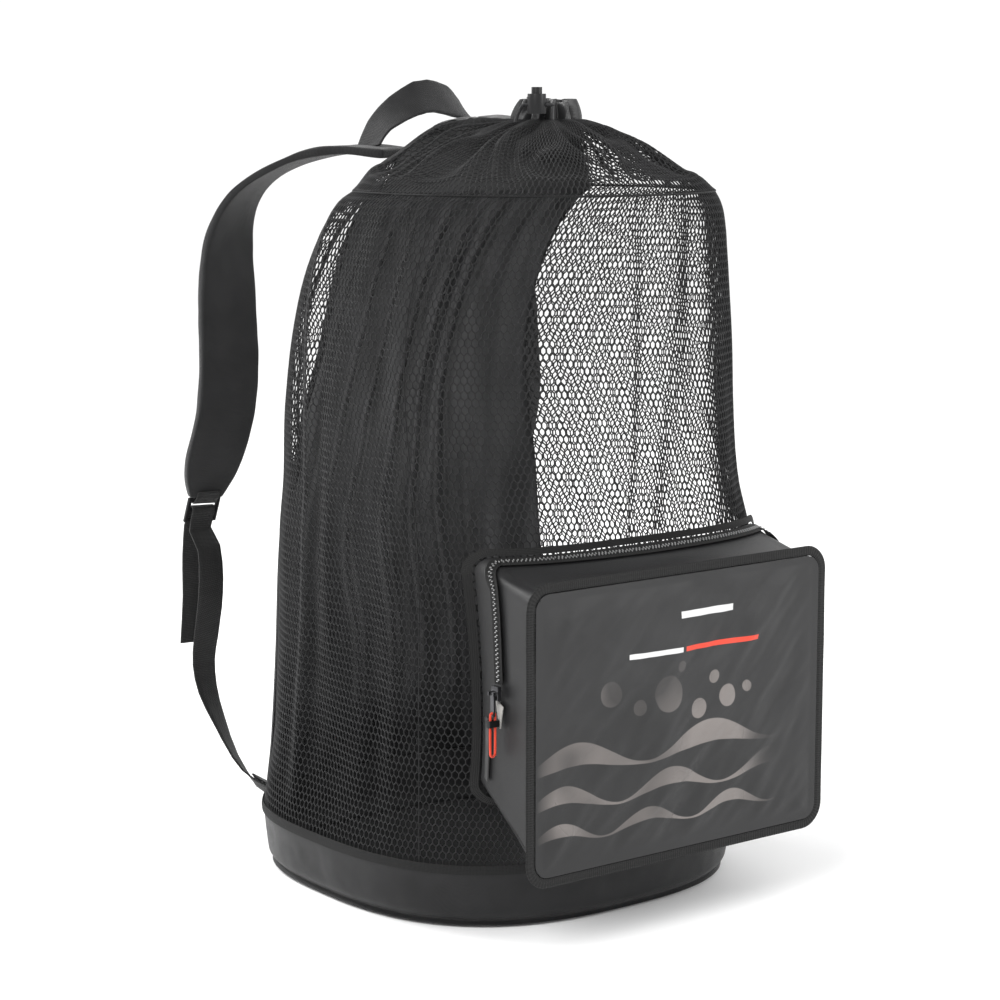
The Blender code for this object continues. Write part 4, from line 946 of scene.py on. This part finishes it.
def pocket_printed():
    """The coated nylon with its print, mixed in on the outer face only."""
    made = coated_nylon("coated_nylon_printed")
    tree = made.node_tree
    shader = tree.nodes["Principled BSDF"]
    parts = tree.nodes.new("ShaderNodeSeparateXYZ")
    tree.links.new(tree.nodes.new("ShaderNodeTexCoord").outputs["Object"], parts.inputs[0])
    x, z = parts.outputs["X"], parts.outputs["Z"]
    facing = tree.nodes.new("ShaderNodeSeparateXYZ")
    tree.links.new(tree.nodes.new("ShaderNodeTexCoord").outputs["Normal"], facing.inputs[0])

    def calc(kind, *values):
        return sum_of(tree, kind, *values)

    outside = calc("LESS_THAN", facing.outputs["Y"], 0.0)

    def step(value, soft=0.0006):
        """1 where the value is over zero, with a soft edge."""
        return calc("MAXIMUM", calc("MINIMUM", calc("ADD", calc("DIVIDE", value, soft), 0.5), 1.0), 0.0)

    mask = None
    for level, swell, length, shift, thick in SWELLS:
        wave = calc("SINE", calc("ADD", calc("MULTIPLY", x, 2 * math.pi / length), shift))
        tip = calc("SUBTRACT", z, calc("ADD", calc("MULTIPLY", wave, swell), level))
        body = calc("MULTIPLY", calc("ADD", wave, 1.3), thick / 2.3)
        inside = calc("MULTIPLY", step(calc("ADD", tip, body)), step(calc("MULTIPLY", tip, -1.0)))
        mask = inside if mask is None else calc("MAXIMUM", mask, inside)
    for at_x, at_z, radius in BUBBLES:
        away_x = calc("SUBTRACT", x, at_x)
        away_z = calc("SUBTRACT", z, at_z)
        away = calc("SQRT", calc("ADD", calc("MULTIPLY", away_x, away_x),
                                 calc("MULTIPLY", away_z, away_z)))
        inside = step(calc("SUBTRACT", radius, away))
        mask = calc("MAXIMUM", mask, inside)
    limits = calc("MULTIPLY", step(calc("SUBTRACT", PRINT_RIGHT, x), 0.05),
                  step(calc("ADD", x, -PRINT_LEFT), 0.02))
    fade = tree.nodes.new("ShaderNodeTexNoise")
    fade.inputs["Scale"].default_value = 9.0
    tree.links.new(tree.nodes["Texture Coordinate"].outputs["Object"], fade.inputs["Vector"])
    worn = tree.nodes.new("ShaderNodeMapRange")
    given(worn, {"From Min": 0.38, "From Max": 0.60, "To Min": 0.12})
    tree.links.new(fade.outputs["Fac"], worn.inputs["Value"])
    printed = calc("MULTIPLY", mask, calc("MULTIPLY", limits, worn.outputs[0]))

    colour = shader.inputs["Base Color"].links[0].from_socket

    def over(factor, paint):
        nonlocal colour
        mix = tree.nodes.new("ShaderNodeMix")
        mix.data_type = "RGBA"
        mix.inputs["B"].default_value = (*paint, 1.0)
        tree.links.new(colour, mix.inputs["A"])
        tree.links.new(calc("MULTIPLY", factor, outside), mix.inputs["Factor"])
        colour = mix.outputs["Result"]

    over(printed, PRINT_GREY)
    for first, last, level, half, paint in STRIPES:
        away = calc("ABSOLUTE", calc("SUBTRACT", z, level))
        ends = calc("MULTIPLY", step(calc("SUBTRACT", x, first), STRIPE_SOFT),
                    step(calc("SUBTRACT", last, x), STRIPE_SOFT))
        stripe = calc("MULTIPLY", step(calc("SUBTRACT", half, away), STRIPE_SOFT), ends)
        over(stripe, paint)
    tree.links.new(colour, shader.inputs["Base Color"])
    gloss = tree.nodes.new("ShaderNodeMapRange")
    given(gloss, {"To Min": 0.40, "To Max": 0.24})
    tree.links.new(printed, gloss.inputs["Value"])
    tree.links.new(gloss.outputs["Result"], shader.inputs["Roughness"])
    return made


FRONT_MIDDLE_Z = (POCKET_FRONT_BOTTOM + POCKET_FRONT_TOP) / 2
FRONT_HALF_HEIGHT = (POCKET_FRONT_TOP - POCKET_FRONT_BOTTOM) / 2


def on_front(across, up):
    """A square grid drawn out to the rounded front, puffed and creased on the slant."""
    a, b = 2 * across - 1, 2 * up - 1
    reach = max(abs(a), abs(b))
    x, z = a * POCKET_WIDTH / 2, b * FRONT_HALF_HEIGHT
    over_x = max(0.0, abs(x) - (POCKET_WIDTH / 2 - POCKET_CORNER))
    over_z = max(0.0, abs(z) - (FRONT_HALF_HEIGHT - POCKET_CORNER))
    over = math.hypot(over_x, over_z)
    if over > POCKET_CORNER:
        x -= math.copysign(over_x * (1 - POCKET_CORNER / over), x)
        z -= math.copysign(over_z * (1 - POCKET_CORNER / over), z)
    flat = max(0.0, 1 - (reach / 0.95)**2)
    slant = Vector(((x + z) * 9.0, (x - z) * 30.0, 2.0))
    crease = noise.noise(slant) + 0.5 * noise.noise(slant * 2.1)
    hollow = drift(x * 14.0, z * 12.0, 8.0)
    puff = 0.0052 * flat + (0.0030 * crease + 0.0028 * hollow) * min(1.0, flat * 4)
    return Vector((x, POCKET_FRONT_Y - max(puff, -0.0006), FRONT_MIDDLE_Z + z))


front = walled(laid("pocket_front_cloth", 190, 150, on_front), POCKET_SHEET)
dress(front, pocket_printed(), "coated_nylon", "pocket_front")


# Bindings: ribbed tape folded round the pocket's front seam, and flat tape that sews the gusset
# to the net. Both run all the way round in one length.
LOOP_LENGTH = 1.13
BINDING_GIRTH = 0.022
BACK_TAPE_WIDTH = 0.006


def on_binding(across, up):
    along = loop_place(across)
    turned = 2 * math.pi * up
    wave = drift(along * 5.0, 1.0, 2.0)
    reach = 0.0048 + 0.0045 * math.copysign(abs(math.cos(turned))**0.7, math.cos(turned))
    thick = 0.0013 * math.copysign(abs(math.sin(turned))**0.7, math.sin(turned)) * (1 + 0.15 * wave)
    x, z = rect_loop(along, POCKET_WIDTH / 2 + reach, POCKET_FRONT_BOTTOM - reach,
                     POCKET_FRONT_TOP + reach, POCKET_CORNER + reach)
    return Vector((x, POCKET_FRONT_Y + POCKET_WALL / 2 + SEAM_GAP - thick + 0.0004 * wave, z))


binding = laid("pocket_front_tape", 600, 16, on_binding, closed=True)
metre_map(binding, BINDING_GIRTH, LOOP_LENGTH)
in_edit(binding, lambda: bpy.ops.mesh.normals_make_consistent(inside=False))
bpy.ops.object.shade_smooth()
dress(binding, ribbed("binding_tape_bound", (0.006, 0.006, 0.006), 0.6, along_pitch=0.0022),
      "binding_tape", "pocket_front_binding")


def on_back_tape(across, up):
    along = loop_place(across)
    reach = 0.0014 + BACK_TAPE_WIDTH * up
    x, z = rect_loop(along, POCKET_WIDTH / 2 + reach, POCKET_BACK_BOTTOM - reach - 0.0045,
                     POCKET_BACK_TOP + reach, POCKET_CORNER + reach)
    return Vector((x, front_y(x, z) - FACET_GAP - 0.0012, z))


back_tape = laid("pocket_back_tape", 480, 6, on_back_tape, closed=True)
metre_map(back_tape, BACK_TAPE_WIDTH, LOOP_LENGTH)
walled(back_tape, 0.0010, offset=1.0)
in_edit(back_tape, lambda: bpy.ops.mesh.normals_make_consistent(inside=False))
dress(back_tape, tape_finish, "binding_tape", "pocket_back_binding")


# Zip: two rows of silver teeth on black tape, from the left side over the top and down the
# right. One tooth is modelled and set along the run on both sides in turn.
ZIP_STATIONS = ((0.57, 0.36), (1.0, 0.35), (1.5, 0.22), (2.0, 0.12), (2.5, 0.12), (3.0, 0.12),
                (3.5, 0.22), (4.0, 0.35), (4.43, 0.36))
ZIP_TAPE_WIDTH = 0.011
ZIP_TAPE_LIFT = 0.0014
ZIP_LENGTH = 0.78
TOOTH_PITCH = 0.0038
TOOTH_SIZE = (0.0012, 0.0021, 0.0011)
TOOTH_LIFT = 0.0009
TOOTH_ASIDE = 0.0009


def zip_frame(along, out):
    """A point on the zip's line, its run, and the way straight out of the gusset."""
    across = table_at(ZIP_STATIONS, along)[1]
    point = pocket_point(along, across, out)
    ahead = pocket_point(along + 0.01, table_at(ZIP_STATIONS, along + 0.01)[1], out)
    normal = (pocket_point(along, across, 0.001) - pocket_point(along, across)).normalized()
    return point, (ahead - point).normalized(), normal


def on_zip(across, up):
    along = ZIP_STATIONS[0][0] + (ZIP_STATIONS[-1][0] - ZIP_STATIONS[0][0]) * across
    point, run, normal = zip_frame(along, ZIP_TAPE_LIFT)
    side = normal.cross(run)
    return point + side * (ZIP_TAPE_WIDTH * (up - 0.5))


zip_cloth = laid("zip_tape_cloth", 300, 8, on_zip)
metre_map(zip_cloth, ZIP_TAPE_WIDTH, ZIP_LENGTH)
walled(zip_cloth, 0.0007, offset=0.0)
dress(zip_cloth, tape_finish, "binding_tape", "zip_tape")

bpy.ops.object.select_all(action="DESELECT")
bpy.ops.mesh.primitive_cube_add(size=1.0)
tooth = bpy.context.object
for vertex in tooth.data.vertices:
    narrow = 0.7 if vertex.co.z > 0 else 1.0
    vertex.co = Vector((vertex.co.x * TOOTH_SIZE[0] * narrow, vertex.co.y * TOOTH_SIZE[1] * narrow,
                        vertex.co.z * TOOTH_SIZE[2]))
in_edit(tooth, lambda: bpy.ops.mesh.bevel(offset=0.0002, segments=1, affect="EDGES"))
dense, along = [], ZIP_STATIONS[0][0]
while along < ZIP_STATIONS[-1][0]:
    dense.append((along, zip_frame(along, 0.0)[0]))
    along += 0.004
row = bmesh.new()
gone, count = 0.0, 0
for (_, before), (along, after) in zip(dense, dense[1:]):
    gone += (after - before).length
    if gone < TOOTH_PITCH / 2:
        continue
    gone -= TOOTH_PITCH / 2
    count += 1
    point, run, normal = zip_frame(along, ZIP_TAPE_LIFT + TOOTH_LIFT)
    side = normal.cross(run)
    at = point + side * (TOOTH_ASIDE if count % 2 else -TOOTH_ASIDE)
    turn = Matrix((run, side, normal)).transposed().to_4x4()
    copy = tooth.data.copy()
    copy.transform(Matrix.Translation(at) @ turn)
    row.from_mesh(copy)
    bpy.data.meshes.remove(copy)
teeth_mesh = bpy.data.meshes.new("zip_teeth_row")
row.to_mesh(teeth_mesh)
row.free()
bpy.data.objects.remove(tooth)
teeth = bpy.data.objects.new("zip_teeth_row", teeth_mesh)
bpy.context.scene.collection.objects.link(teeth)
dress(teeth, moulded("zip_teeth_silver", (0.30, 0.30, 0.30), 0.3, metallic=0.7),
      "zip_teeth_silver", "zip_teeth")


# Slider, puller and its red cord: plated metal with rounded edges, a braided cord loop and a
# moulded crimp, all hanging on the slider's pin.
gunmetal = moulded("puller_gunmetal", (0.09, 0.09, 0.095), 0.28, metallic=0.9)
rounded("zip_slider", "zip_slider_casting", 0.0006, gunmetal, "puller_gunmetal")
rounded("zip_puller", "zip_puller_casting", 0.0004, gunmetal, "puller_gunmetal", body="puller")
rounded("cord_crimp", "cord_crimp_moulding", 0.0005, acetal, "acetal_plastic", body="puller")
red_braid = woven("red_cord", (0.78, 0.06, 0.025), 0.55, pitch=0.0010, depth=0.8, lighter=1.15,
                  sheen=0.2)
red = softened("puller_cord", "puller_cord_braid", red_braid, "red_cord", levels=1, crease=0.0,
               ripple=0.0)
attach(red, "puller")
grey_satin = woven("grey_satin_nylon", (0.38, 0.37, 0.35), 0.3, pitch=0.0008, depth=0.2,
                   lighter=1.3, sheen=0.1)
softened("zip_end_tab", "zip_end_satin", grey_satin, "grey_satin_nylon", ripple=0.0004)
softened("pocket_side_strip", "side_strip_webbing", woven(
    "grey_strip", (0.06, 0.06, 0.06), 0.6, pitch=0.0014, depth=0.7), "polypropylene_webbing",
    ripple=0.0002)
